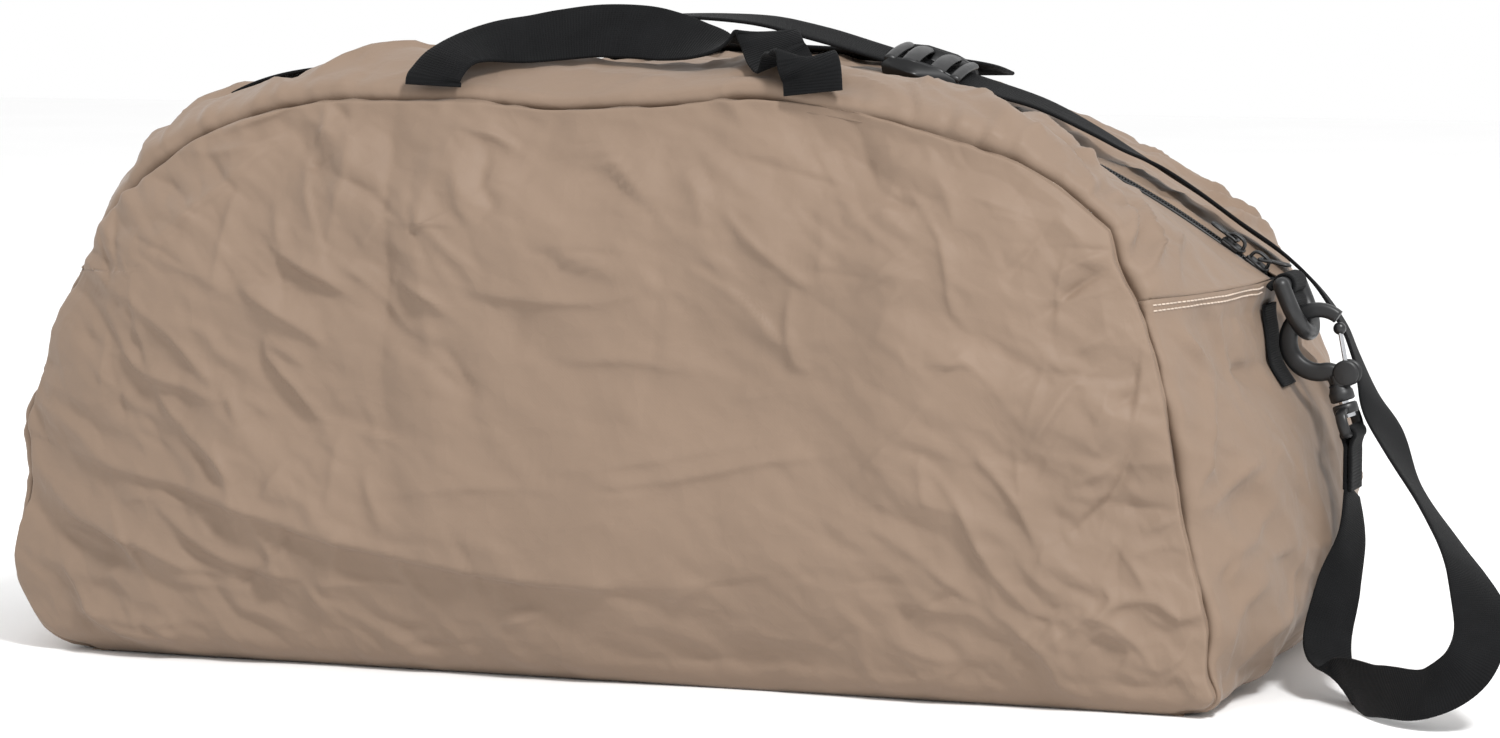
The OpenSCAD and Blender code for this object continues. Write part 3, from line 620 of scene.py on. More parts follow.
def front_relief(grid):
    """Height of the front wall's creases, along its normal."""
    x, z = grid[..., 0], grid[..., 2]
    rng = np.random.default_rng(41)
    height = crease_field(x, z, FRONT_CREASES)
    left = random_creases(rng, 60, (-318, -60, 10, 285), -42, 24, (22, 60), (0.35, 1.1))
    middle = random_creases(rng, 26, (-60, 160, 60, 285), -25, 45, (25, 80), (0.2, 0.6))
    right = random_creases(rng, 55, (150, 305, 6, 250), 55, 40, (16, 52), (0.3, 0.9))
    low = random_creases(rng, 26, (-300, 300, 4, 60), 5, 25, (20, 60), (0.25, 0.7))
    height += crease_field(x, z, left + middle + right + low)
    calm = np.exp(-(((x - 40) / 130) ** 2) - ((z - 120) / 90) ** 2)
    rough = 1 - 0.75 * calm
    height += 2.2 * soft_noise(x / 85 + 3, z / 85, 5) + 1.1 * soft_noise(x / 40, z / 46, 6)
    height += rough * (1.5 * facet_noise(x / 38, z / 33, 7) + 0.8 * facet_noise(x / 17, z / 15, 8)
                       + 0.3 * facet_noise(x / 8, z / 7.5, 9))
    return RELIEF * height


def rear_relief(grid):
    """Height of the rear wall's creases: the same kinds of folds, placed by chance."""
    x, z = grid[..., 0], grid[..., 2]
    rng = np.random.default_rng(77)
    sag = [([(300, 96), (220, 84), (140, 66), (60, 58), (-40, 60), (-120, 72)], 2.0, 9, 32, -1.2),
           ([(-300, 78), (-262, 60), (-220, 46), (-170, 42)], 1.8, 13, 6, 0.9),
           ([(110, 286), (106, 230), (112, 170), (104, 122)], -2.2, 18, 17, 0.0),
           ([(-150, 262), (-142, 215), (-150, 160)], -1.9, 16, 18, 0.0),
           ([(-292, 168), (-262, 158), (-238, 136)], 1.6, 9, 6, 0.8)]
    height = crease_field(x, z, sag)
    height += crease_field(x, z, random_creases(
        rng, 150, (-315, 315, 6, 285), 40, 38, (20, 75), (0.3, 1.1)))
    height += 2.4 * soft_noise(x / 85 + 9, z / 85, 15) + 1.1 * soft_noise(x / 40, z / 46, 16)
    height += (1.4 * facet_noise(x / 38, z / 33, 17) + 0.75 * facet_noise(x / 17, z / 15, 18)
               + 0.3 * facet_noise(x / 8, z / 7.5, 19))
    return RELIEF * height


def edge_fade(edge):
    """Creases vanish at a sewn edge and are at full height about 20 mm from it."""
    return (1 - np.exp(-edge / 1.5)) * (1 - 0.7 * np.exp(-edge / 9))


def to_middle(x, z):
    """Direction in the x-z plane from the outline towards the middle of the bag."""
    return unit(np.stack([-x, np.zeros_like(x), 110 - z], axis=-1))


def wall_cloth(side):
    """Displaced grid of the front or rear wall."""
    grid = wall_grid(side, 441 if side < 0 else 301)
    normals = grid_normals(grid)
    normals *= np.sign(normals[..., 1:2] * side + 1e-9)
    x, z = grid[..., 0], grid[..., 2]
    edge, along = to_line(x, z, wall_rim(side))
    relief = front_relief(grid) if side < 0 else rear_relief(grid)
    floor_fade = np.clip(z / 14, 0, 1)
    relief = relief * edge_fade(edge) * floor_fade
    gather = 1 + 1.4 * np.exp(-(((x + 250) / 30) ** 2) - ((z - 232) / 26) ** 2)
    relief += seam_puckers(edge, along, 21 if side < 0 else 31, 1.5) * gather * floor_fade
    grid = grid + normals * relief[..., None]
    groove = seam_groove(edge, x, z)
    grid = grid + to_middle(x, z) * groove[..., None]
    grid[..., 1] -= side * groove
    grid[..., 2] = np.maximum(grid[..., 2], 0.4)
    return grid


# ---- the ends, the base and the top gusset ------------------------------------------------------


def end_middle_x(z):
    """x of the end panel along the middle plane."""
    return shell_x(z, 0) + TUB_GAP - 0.4 + lerp_table(END_BULGE, z)


# Creases of the right end panel: y across, z up
RIGHT_END_CREASES = [
    ([(-139, 98), (-120, 101), (-92, 112), (-70, 118)], 1.6, 9, 7, 0.6),
    ([(-136, 104), (-124, 116), (-112, 136), (-96, 156)], 2.2, 12, 9, 1.0),
    ([(-138, 128), (-126, 122), (-118, 108)], 1.3, 7, 6, 0.5),
    ([(-138, 188), (-120, 180), (-96, 160), (-80, 150)], 1.5, 11, 9, 0.5),
    ([(-120, 192), (-108, 170), (-100, 150)], 1.2, 9, 9, 0.3),
    ([(-80, 190), (-72, 168), (-74, 146)], 1.3, 9, 8, 0.4),
    ([(-137, 60), (-118, 74), (-96, 80), (-70, 96)], 1.4, 10, 8, 0.5),
    ([(-130, 30), (-110, 52), (-84, 62)], 1.3, 10, 8, 0.5),
    ([(-110, 12), (-88, 34), (-50, 44)], 1.4, 12, 8, 0.5),
    ([(-128, 168), (-134, 150), (-132, 132)], 1.0, 7, 6, 0.4),
    ([(-60, 196), (-52, 176), (-30, 160)], 1.2, 9, 8, 0.3),
    ([(-40, 20), (-10, 40), (30, 36)], 1.2, 12, 10, 0.3),
    ([(40, 190), (58, 160), (64, 130)], 1.5, 12, 9, 0.5),
    ([(128, 110), (100, 120), (70, 112)], 1.5, 10, 8, 0.5),
    ([(120, 40), (84, 60), (50, 62)], 1.4, 10, 8, 0.5),
]


def draw_in_edges(grid, flat, edge):
    """The sewn edges of a strip drawn in to the seam, as on the wall that it meets. flat is the
    strip before it was creased."""
    groove = seam_groove(edge, flat[..., 0], flat[..., 2])
    grid = grid + to_middle(flat[..., 0], flat[..., 2]) * groove[..., None]
    grid[..., 1] -= np.sign(flat[..., 1]) * groove
    return grid


def end_shape_x(side, z, q):
    """x of the smooth end panel: q runs from -1 at the front seam to 1 at the rear seam."""
    front = side * front_rim_x(side, z)
    rear = side * rear_rim_x(side, z)
    x = front + (rear - front) * (q + 1) / 2
    return x + (end_middle_x(z) - (front + rear) / 2) * (1 - np.abs(q) ** 2.2)


def end_cloth(side):
    """Displaced grid of an end panel, from the ground to the fold line."""
    rows, cols = 92, 121
    z = np.repeat(np.linspace(0, FOLD_Z, rows)[:, None], cols, axis=1)
    q = np.repeat(np.linspace(-1, 1, cols)[None], rows, axis=0)
    y = q * seam_depth(z)
    grid = np.stack([side * end_shape_x(side, z, q), y, z], axis=-1)
    normals = grid_normals(grid)
    normals *= np.sign(normals[..., :1] * side + 1e-9)
    rng = np.random.default_rng(101 if side > 0 else 103)
    relief = crease_field(y, z, random_creases(rng, 50, (-136, 136, 5, 192), 65, 42,
                                               (16, 52), (0.3, 0.9)))
    if side > 0:
        relief += crease_field(y, z, RIGHT_END_CREASES)
    else:
        relief += crease_field(-y, z, RIGHT_END_CREASES)
    relief += 1.6 * soft_noise(y / 60 + side, z / 60, 61) + 0.8 * soft_noise(y / 30, z / 34, 62)
    relief += (1.3 * facet_noise(y / 34, z / 34 + side, 63)
               + 0.7 * facet_noise(y / 16, z / 15, 64) + 0.28 * facet_noise(y / 8, z / 8, 65))
    edge = seam_depth(z) - np.abs(y)
    under_web = np.clip((np.abs(y) - 13) / 14, 0, 1)
    fade = edge_fade(edge) * np.clip(z / 14, 0, 1)
    fade = fade * np.clip((FOLD_Z - z) / 10, 0, 1) * (0.12 + 0.88 * under_web)
    relief = RELIEF * relief * fade
    relief += seam_puckers(edge, z, 71 + side, 1.9) * np.clip(z / 14, 0, 1)
    top = np.maximum(FOLD_Z - z, 0)
    relief += 0.9 * line_noise(y / 9, 75) * np.exp(-top / 11) * np.clip(top / 2, 0, 1)
    flat = grid
    grid = grid + normals * relief[..., None]
    grid = draw_in_edges(grid, flat, edge)
    grid[..., 2] = np.maximum(grid[..., 2], 0.4)
    return grid


def base_cloth():
    """The bottom panel, a little off the ground in its middle."""
    rows, cols = 41, 121
    depth = float(seam_depth(0))
    v = np.repeat(np.linspace(-1, 1, rows)[:, None], cols, axis=1)
    s = np.repeat(np.linspace(0, 1, cols)[None], rows, axis=0)
    t = (v + 1) / 2
    left = front_rim_x(-1, 0) * (1 - t) + rear_rim_x(-1, 0) * t
    right = front_rim_x(1, 0) * (1 - t) + rear_rim_x(1, 0) * t
    x = left + (right - left) * s
    y = v * depth
    z = 0.4 + 2.0 * (1 - v**4) * (1 - (2 * s - 1) ** 6)
    z = z + 0.8 * (soft_noise(x / 40, y / 40, 81) + 1) * (1 - v**4)
    return np.stack([x, y, z], axis=-1)


# Folds of the front gusset: u from -1 to 1 along it, in hundredths, and v from 0 (seam) to 100 (zip)
GUSSET_CREASES = [
    ([(96, 2), (90, 26), (84, 30), (78, 46)], 2.6, 7, 5, 1.0),
    ([(99, 20), (92, 40), (88, 66)], 2.0, 7, 6, 0.8),
    ([(88, 4), (80, 20), (74, 24)], 1.8, 6, 5, 0.6),
    ([(74, 2), (66, 20), (58, 24)], 1.5, 6, 5, 0.4),
    ([(-36, 8), (-30, 40), (-18, 66)], 2.0, 7, 6, 0.6),
    ([(-20, 6), (-8, 30), (4, 34), (14, 58)], 1.8, 6, 6, 0.6),
    ([(20, 8), (12, 30), (14, 60)], 1.6, 6, 6, 0.5),
    ([(34, 4), (26, 20), (8, 26)], 1.8, 5, 5, 0.6),
    ([(-62, 4), (-58, 30), (-48, 50)], 1.6, 6, 6, 0.4),
]


# Crown of the front half along the arch, from the left end at -1 to the right end at 1
FRONT_CROWN = [(-1, 3), (-0.85, 14), (-0.65, 24), (-0.4, 22), (-0.2, 13), (0, 9), (0.22, 12),
               (0.38, 18), (0.55, 17), (0.75, 9), (1, 3)]
REAR_CROWN = 5.0


def meet_end_panels(grid, u, v):
    """The strip's two ends brought onto the top edges of the end panels."""
    for end in (-1, 1):
        y = grid[..., 1]
        edge_x = end * end_shape_x(end, np.full_like(y, FOLD_Z), y / SEAM_Y)
        gap = (1 - end * u) * 340
        near = np.clip(1 - gap / 45, 0, 1)[None] ** 2
        grid[..., 0] += (edge_x - grid[:, -1 if end > 0 else 0, 0][:, None]) * near
        grid[..., 2] += (FOLD_Z + 1.2 * v - grid[:, -1 if end > 0 else 0, 2][:, None]) * near
    return grid


def gusset_cloth(side):
    """Displaced grid of half of the top gusset, from the arch seam to the zip."""
    rows, cols = 44, 321
    lip_y = 6.5
    u = np.linspace(-1, 1, cols)
    ax, az = front_arch(u) if side < 0 else rear_arch(u)
    a = u * ZIP_END_A
    v = np.linspace(0, 1, rows)[:, None, None]
    seam = np.column_stack([ax, np.full(cols, side * SEAM_Y), az])
    lip_r = ZIP_R + 1.2
    lip = np.column_stack([lip_r * np.sin(a), np.full(cols, side * lip_y),
                           ZIP_CZ + lip_r * np.cos(a)])
    out = np.column_stack([np.sin(u * math.radians(60)), np.zeros(cols),
                           np.cos(u * math.radians(60))])
    crown = smooth_table(FRONT_CROWN, u) if side < 0 else np.full(cols, REAR_CROWN)
    arch = v ** 0.75 if side < 0 else v
    grid = (seam[None] * (1 - v) + lip[None] * v
            + out[None] * crown[None, :, None] * 4 * arch * (1 - arch))
    grid = meet_end_panels(grid, u, v[:, :, 0])
    uu = np.repeat((u * 100)[None], rows, axis=0)
    vv = np.repeat(v[:, :, 0] * 100, cols, axis=1)
    along = uu * 3.4
    depth = vv * 1.3
    rng = np.random.default_rng(111 if side < 0 else 113)
    creases = [([(p * 3.4, q * 1.3) for p, q in pts], h, l, r, s)
               for pts, h, l, r, s in GUSSET_CREASES]
    relief = crease_field(along, depth, creases)
    relief += crease_field(along, depth, random_creases(
        rng, 70, (-335, 335, 4, 124), 78, 30, (18, 60), (0.4, 1.3)))
    relief += 1.8 * soft_noise(along / 55, depth / 50, 91 + side)
    relief += (1.3 * facet_noise(along / 32, depth / 34, 93 + side)
               + 0.7 * facet_noise(along / 15, depth / 16, 95 + side)
               + 0.25 * facet_noise(along / 8, depth / 8, 97 + side))
    flat = grid
    edge = SEAM_Y - np.abs(grid[..., 1])
    to_zip = np.abs(grid[..., 1]) - lip_y
    end_gap = (1 - np.abs(uu) / 100) * 340
    fade = edge_fade(edge) * (1 - np.exp(-to_zip / 7)) * (1 - np.exp(-end_gap / 7))
    relief = RELIEF * relief * fade + seam_puckers(edge, along, 71 + side, 2.0)
    relief += 0.7 * line_noise(along / 8, 99 + side) * np.exp(-to_zip / 9) * fade
    normals = grid_normals(grid)
    normals *= np.sign(np.sum(normals * out[None], axis=-1, keepdims=True) + 1e-9)
    grid = grid + normals * relief[..., None]
    return draw_in_edges(grid, flat, edge)


def cloth_object(name, grid, flip, materials, thickness=0.7):
    """A cloth piece: the outer grid, and the same cloth again just inside it, joined round."""
    rows, cols = grid.shape[:2]
    uv = np.stack([np.repeat(np.arange(cols)[None] * 2.2, rows, 0),
                   np.repeat(np.arange(rows)[:, None] * 2.2, cols, 1)], axis=-1)
    faces = grid_faces(rows, cols)
    if flip:
        faces = [tuple(reversed(f)) for f in faces]
    obj = make_object(name, grid.reshape(-1, 3), faces, materials, uv=uv.reshape(-1, 2))
    weld = obj.modifiers.new("weld", "WELD")
    weld.merge_threshold = 0.0001
    thick = obj.modifiers.new("thickness", "SOLIDIFY")
    thick.thickness = thickness * MM
    thick.offset = -1
    apply_modifiers(obj)
    return obj


def apply_modifiers(obj):
    """Makes the modifiers' result the object's own mesh."""
    depsgraph = bpy.context.evaluated_depsgraph_get()
    mesh = bpy.data.meshes.new_from_object(obj.evaluated_get(depsgraph))
    obj.modifiers.clear()
    obj.data = mesh


# ---- materials ----------------------------------------------------------------------------------


class Nodes:
    """Short names for building one node material."""

    def __init__(self, name, **settings):
        self.material = bpy.data.materials.new(name)
        self.material.use_nodes = True
        self.tree = self.material.node_tree
        self.shader = self.tree.nodes["Principled BSDF"]
        for key, value in settings.items():
            self.shader.inputs[key.replace("_", " ")].default_value = value

    def add(self, kind, inputs=None, **settings):
        node = self.tree.nodes.new(kind)
        for key, value in settings.items():
            setattr(node, key, value)
        for key, value in (inputs or {}).items():
            if isinstance(value, bpy.types.NodeSocket):
                self.tree.links.new(value, node.inputs[key])
            else:
                node.inputs[key].default_value = value
        return node

    def place(self):
        return self.add("ShaderNodeTexCoord").outputs["Object"]

    def noise(self, scale, detail=2.0, rough=0.5, vector=None):
        return self.add("ShaderNodeTexNoise", {
            "Vector": vector or self.place(), "Scale": scale, "Detail": detail,
            "Roughness": rough}).outputs["Fac"]

    def ramp(self, fac, stops):
        node = self.add("ShaderNodeValToRGB", {"Fac": fac})
        ramp = node.color_ramp
        while len(ramp.elements) < len(stops):
            ramp.elements.new(0.5)
        for element, (at, color) in zip(ramp.elements, stops):
            element.position = at
            element.color = (*color, 1)
        return node.outputs["Color"]

    def math(self, operation, a, b):
        node = self.tree.nodes.new("ShaderNodeMath")
        node.operation = operation
        for socket, value in zip(node.inputs, (a, b)):
            if isinstance(value, bpy.types.NodeSocket):
                self.tree.links.new(value, socket)
            else:
                socket.default_value = value
        return node.outputs["Value"]

    def bump(self, height, strength, distance, normal=None):
        inputs = {"Height": height, "Strength": strength, "Distance": distance}
        if normal is not None:
            inputs["Normal"] = normal
        return self.add("ShaderNodeBump", inputs).outputs["Normal"]

    def link(self, socket, name):
        self.tree.links.new(socket, self.shader.inputs[name])


def shade(color, factor):
    return tuple(c * factor for c in color)


TAUPE = (0.217, 0.154, 0.111)
BLACK = (0.0048, 0.0050, 0.0055)


def nylon(name, factor=1.0):
    """Thin crinkled taupe nylon: slight sheen, fine crinkles and a tight plain weave."""
    m = Nodes(name, Sheen_Weight=0.08, Sheen_Roughness=0.45, Specular_IOR_Level=0.26)
    tone = m.ramp(m.noise(9, 4, 0.6), [(0.25, shade(TAUPE, 0.93 * factor)),
                                       (0.75, shade(TAUPE, 1.05 * factor))])
    m.link(tone, "Base Color")
    gloss = m.ramp(m.noise(30, 3), [(0.3, (0.56,) * 3), (0.7, (0.66,) * 3)])
    m.link(gloss, "Roughness")
    warp = m.add("ShaderNodeTexNoise", {"Vector": m.place(), "Scale": 22}).outputs["Color"]
    bent = m.add("ShaderNodeVectorMath", {0: warp, 1: (0.03,) * 3, 2: m.place()},
                 operation="MULTIPLY_ADD").outputs["Vector"]
    facets = m.add("ShaderNodeTexVoronoi", {"Vector": bent, "Scale": 42}).outputs["Distance"]
    crinkle = m.add("ShaderNodeTexVoronoi", {"Vector": bent, "Scale": 110}).outputs["Distance"]
    fine = m.noise(420, 3, 0.6)
    weave = m.add("ShaderNodeTexWave", {"Vector": m.place(), "Scale": 380, "Distortion": 1.2},
                  bands_direction="DIAGONAL").outputs["Fac"]
    normal = m.bump(facets, 0.16, 0.006)
    normal = m.bump(crinkle, 0.14, 0.0025, normal)
    normal = m.bump(fine, 0.12, 0.0005, normal)
    normal = m.bump(weave, 0.05, 0.0002, normal)
    m.link(normal, "Normal")
    return m.material


def webbing(name, pitch, depth, color=BLACK):
    """Black webbing with ribs across it. UV u runs along the webbing, in metres."""
    m = Nodes(name, Roughness=0.75, Sheen_Weight=0.02, Sheen_Roughness=0.5,
              Specular_IOR_Level=0.1)
    m.link(m.ramp(m.noise(60, 3), [(0.3, shade(color, 0.85)), (0.7, shade(color, 1.3))]),
           "Base Color")
    uv = m.add("ShaderNodeUVMap", uv_map="UVMap").outputs["UV"]
    split = m.add("ShaderNodeSeparateXYZ", {"Vector": uv})
    ribs = m.math("SINE", m.math("MULTIPLY", split.outputs["X"], 2 * math.pi / pitch), 0)
    ends = m.math("SINE", m.math("MULTIPLY", split.outputs["Y"], 2 * math.pi / (pitch * 0.8)), 0)
    cloth = m.math("MULTIPLY", m.math("ADD", m.math("MULTIPLY", ends, 0.35), ribs), 0.5)
    normal = m.bump(cloth, 0.55, depth)
    normal = m.bump(m.noise(900, 2), 0.2, 0.0003, normal)
    m.link(normal, "Normal")
    return m.material


def plastic(name, rough=0.34):
    """Satin black moulded plastic with a faint moulded grain."""
    m = Nodes(name, Specular_IOR_Level=0.5, Coat_Weight=0.06, Coat_Roughness=0.3)
    m.link(m.ramp(m.noise(45, 4), [(0.3, BLACK), (0.7, shade(BLACK, 1.6))]),
           "Base Color")
    m.link(m.ramp(m.noise(160, 3), [(0.3, (rough,) * 3), (0.7, (rough + 0.12,) * 3)]),
           "Roughness")
    m.link(m.bump(m.noise(1400, 2), 0.12, 0.0002), "Normal")
    return m.material


def steel(name):
    """Bright drawn wire with fine scratches."""
    m = Nodes(name, Metallic=1.0)
    m.link(m.ramp(m.noise(80, 3), [(0.3, (0.42, 0.43, 0.45)), (0.7, (0.62, 0.63, 0.65))]),
           "Base Color")
    m.link(m.ramp(m.noise(300, 3), [(0.3, (0.16,) * 3), (0.7, (0.3,) * 3)]), "Roughness")
    m.link(m.bump(m.noise(2500, 1), 0.08, 0.0001), "Normal")
    return m.material


def tape_weave(name):
    """Woven zip tape: fine ribs along its length."""
    m = Nodes(name, Roughness=0.8, Sheen_Weight=0.05)
    m.link(m.ramp(m.noise(90, 3), [(0.3, (0.010, 0.010, 0.010)), (0.7, (0.020, 0.019, 0.018))]),
           "Base Color")
    wave = m.add("ShaderNodeTexWave", {"Vector": m.place(), "Scale": 260, "Distortion": 0.6},
                 bands_direction="Y").outputs["Fac"]
    m.link(m.bump(wave, 0.4, 0.0003), "Normal")
    return m.material


def thread(name, color):
    """Sewing thread, twisted."""
    m = Nodes(name, Roughness=0.6, Sheen_Weight=0.3)
    m.link(m.ramp(m.noise(500, 2), [(0.3, shade(color, 0.8)), (0.7, shade(color, 1.15))]),
           "Base Color")
    m.link(m.bump(m.noise(1800, 1), 0.3, 0.0002), "Normal")
    return m.material


NYLON = nylon("crinkled_nylon")
# The same nylon 15 per cent darker for the binding inside the bag: painted shade.
NYLON_PAINTED_SHADE = nylon("nylon_painted_shade", 0.85)
WEB_HANDLE = webbing("handle_webbing", 0.0014, 0.0004)
WEB_STRAP = webbing("strap_webbing", 0.0012, 0.0003)
WEB_TAPE = webbing("binding_webbing", 0.0016, 0.0003)
PLASTIC = plastic("black_plastic")
PLASTIC_MATT = plastic("black_plastic_matt", 0.42)
STEEL = steel("bright_wire")
TAPE = tape_weave("zip_tape_weave")
TAUPE_THREAD = thread("taupe_thread", (0.52, 0.42, 0.34))

# ---- shoulder strap -----------------------------------------------------------------------------

# Middle line of the strap, and the direction of its width, in metres
STRAP = [
    [(0.3443, 0, 0.0946), (0, 1, 0)],
    [(0.347, -0.011, 0.072), (0.3, 1, 0)],
    [(0.344, -0.028, 0.048), (0.7, 0.8, 0)],
    [(0.344, -0.05, 0.023), (0.8, 0.6, -0.1)],
    [(0.36, -0.08, 0.008), (0.5, -0.2, -0.8)],
    [(0.384, -0.112, 0.014), (0, -0.4, -1)],
    [(0.408, -0.13, 0.017), (-0.1, -0.4, -1)],
    [(0.428, -0.132, 0.03), (0.8, -0.2, -0.6)],
    [(0.432, -0.117, 0.048), (0.9, 0.3, 0.2)],
    [(0.421, -0.092, 0.068), (0.9, 0.3, -0.5)],
    [(0.401, -0.062, 0.087), (0.7, 0.3, -0.7)],
    [(0.376, -0.026, 0.108), (0.6, 0.5, -0.7)],
    [(0.357, 0.012, 0.127), (0.6, 0.9, -0.3)],
    [(0.345, 0.03, 0.143), (0.1, 1, -0.2)],
    [(0.336, 0.038, 0.16), (-0.1, 1, -0.1)],
    [(0.329, 0.04, 0.174), (-0.1, 1, -0.1)],
    [(0.316, 0.04, 0.192), (-0.1, 1, -0.2)],
    [(0.299, 0.038, 0.208), (-0.1, 1, -0.2)],
    [(0.278, 0.034, 0.223), (-0.1, 1, -0.2)],
    [(0.257, 0.032, 0.238), (-0.1, 1, -0.2)],
    [(0.238, 0.034, 0.249), (-0.1, 1, -0.2)],
    [(0.219, 0.037, 0.258), (0, 1, -0.1)],
    [(0.2, 0.039, 0.268), (0, 1, 0)],
    [(0.172, 0.04, 0.281), (0, 1, 0.1)],
    [(0.142, 0.039, 0.29), (0, 1, 0.2)],
    [(0.112, 0.038, 0.299), (0, 1, 0.2)],
    [(0.082, 0.037, 0.308), (0, 1, 0.2)],
    [(0.052, 0.03, 0.317), (0, 1, 0.2)],
    [(0.02, 0.018, 0.324), (0, 1, 0.1)],
    [(-0.03, 0.002, 0.325), (0, 1, 0)],
    [(-0.08, -0.014, 0.317), (0, 1, 0)],
    [(-0.12, -0.036, 0.307), (0, 1, -0.1)],
    [(-0.155, -0.058, 0.301), (0, 1, -0.1)],
    [(-0.185, -0.076, 0.297), (0, 1, -0.1)],
    [(-0.205, -0.084, 0.292), (0, 1, -0.1)],
    [(-0.223, -0.086, 0.285), (0, 1, 0)],
    [(-0.242, -0.082, 0.274), (0, 1, 0)],
    [(-0.264, -0.062, 0.257), (0, 1, 0)],
    [(-0.288, -0.03, 0.235), (0, 1, 0)],
    [(-0.313, 0.004, 0.209), (0, 1, 0)],
    [(-0.334, 0.026, 0.18), (0, 1, 0)],
    [(-0.35, 0.036, 0.15), (0, 1, 0)],
    [(-0.362, 0.034, 0.116), (0.1, 1, 0)],
    [(-0.371, 0.024, 0.084), (0.2, 1, 0)],
    [(-0.371, 0.012, 0.058), (0.2, 1, 0)],
    [(-0.363, 0.004, 0.046), (0.1, 1, 0)],
    [(-0.352, 0, 0.058), (0, 1, 0)],
    [(-0.3443, 0, 0.0946), (0, 1, 0)],
]
ADJUST_I = 25
STRAP_T = 1.6
PATH_EVERY = 5          # PATH_EVERY = 5 # the kept path takes every fifth 2 mm step of the strap


def band_section(width, thick, steps=7, selvedge=0.18):
    """Cross-section of webbing: flat faces, round edges a little thicker than the middle."""
    half, h = width / 2, thick / 2
    xs = np.linspace(-1, 1, steps) * (half - h)
    bulge = 1 + selvedge * np.exp(-((half - np.abs(xs)) / 1.2) ** 2)
    top = [(x, h * b) for x, b in zip(xs, bulge)]
    low = [(x, -h * b) for x, b in zip(xs[::-1], bulge[::-1])]
    turn = [math.radians(a) for a in (60, 20, -20, -60)]
    right = [(half - h + h * math.cos(a), h * math.sin(a)) for a in turn]
    left = [(-half + h - h * math.cos(a), -h * math.sin(a)) for a in turn]
    return np.array(top + right + low + left)


def web_band(name, route, width, thick, step, materials, rib=None, ease=4):
    """A webbing band along rows of (place, width direction), in millimetres."""
    rows = spline([list(p) + list(unit(w)) for p, w in route], ease)
    rows, s = even_steps(rows, step)
    section = band_section(width, thick)
    sections = np.repeat(section[None], len(rows), axis=0)
    if rib:
        pitch, depth = rib
        wave = depth * np.cos(2 * math.pi * s / pitch)
        flat = np.abs(section[:, 0]) < width / 2 - thick * 0.6
        sections[:, :, 1] += wave[:, None] * np.sign(section[:, 1])[None] * flat[None]
    verts, faces = sweep(rows[:, :3], sections, rows[:, 3:6])
    n = len(section)
    reach = np.concatenate([[0], np.cumsum(np.linalg.norm(np.diff(section, axis=0), axis=1))])
    uv = np.column_stack([np.repeat(s, n), np.tile(reach, len(rows))])
    return make_object(name, verts, faces, materials, uv=uv), rows


def make_strap():
    """The shoulder strap, with the path and length of its middle line."""
    lift = 0.6
    rows = spline([[c / MM for c in p] + list(unit(w)) for p, w in STRAP], 4)
    tangents = unit(np.gradient(rows[:, :3], axis=0))
    wide = unit(rows[:, 3:] - tangents * np.sum(rows[:, 3:] * tangents, axis=1, keepdims=True))
    face = np.cross(tangents, wide)
    low = rows[:, 2] - np.abs(wide[:, 2]) * STRAP_W / 2 - np.abs(face[:, 2]) * STRAP_T / 2
    rows[:, 2] += np.maximum(0, lift - low)
    route = [(r[:3], r[3:]) for r in rows]
    strap, line = web_band("shoulder_strap_webbing", route, STRAP_W, STRAP_T, 2.0, [WEB_STRAP],
                           ease=6)
    kept = np.vstack([line[:-2:PATH_EVERY, :3], line[-1:, :3]])
    path = [tuple(float(c) * MM for c in p) for p in kept]
    length = float(np.sum(np.linalg.norm(np.diff(line[:, :3], axis=0), axis=1))) * MM
    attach(strap, "bag")
    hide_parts("shoulder_strap")
    return strap, path, length


strap, strap_path, strap_length = make_strap()


def mirror(side, points):
    """Points mirrored to the left end when side is -1."""
    v = np.asarray(points, float).copy()
    v[:, 0] *= side
    return v


def mirrored_part(side, part):
    v, f = part
    if side > 0:
        return v, f
    return mirror(-1, v), [tuple(reversed(face)) for face in f]


HOOK_AT = np.array([339.3, 0, 138.6])
HOOK_Z = np.array([-math.sin(HOOK_TILT), 0, math.cos(HOOK_TILT)])
HOOK_X = np.array([math.cos(HOOK_TILT), 0, math.sin(HOOK_TILT)])


def on_hook(part):
    """A part made in the hook's own frame, moved to the right hook's place."""
    return placed(part, HOOK_AT, x=HOOK_X, z=HOOK_Z)


def strap_end_part():
    """Two layers of webbing looped over the eye's bar, with the tail folded under and sewn."""
    bar = HOOK_AT - HOOK_Z * 16.2
    loop = [(bar[0] + 3.3 * math.cos(math.radians(deg)), bar[2] + 3.3 * math.sin(math.radians(deg)))
            for deg in range(-45, 226, 30)]
    front_leg = [(bar[0] + 1.3, bar[2] - k) for k in (28, 22, 16, 10, 6)]
    rear_leg = [(bar[0] - 1.3, bar[2] - k) for k in (6, 10, 16, 22, 27)]
    line = front_leg + loop + rear_leg
    rows = spline([[x, 0, z, 0, 1, 0] for x, z in line], 4)
    verts, faces = sweep(rows[:, :3], band_section(STRAP_W, 1.7), rows[:, 3:])
    n = len(band_section(STRAP_W, 1.7))
    s = np.arange(len(rows)) * 1.1
    uv = np.column_stack([np.repeat(s, n), np.tile(np.arange(n) * 2.0, len(rows))])
    return verts, faces, uv


def make_strap_end(side):
    verts, faces, uv = strap_end_part()
    verts, faces = mirrored_part(side, (verts, faces))
    name = "right" if side > 0 else "left"
    end = make_object(name + "_strap_end_loop", verts, faces, [WEB_STRAP], uv=uv)
    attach(end, "bag")
    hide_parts(name + "_strap_end")
    return end


strap_ends = [make_strap_end(1), make_strap_end(-1)]


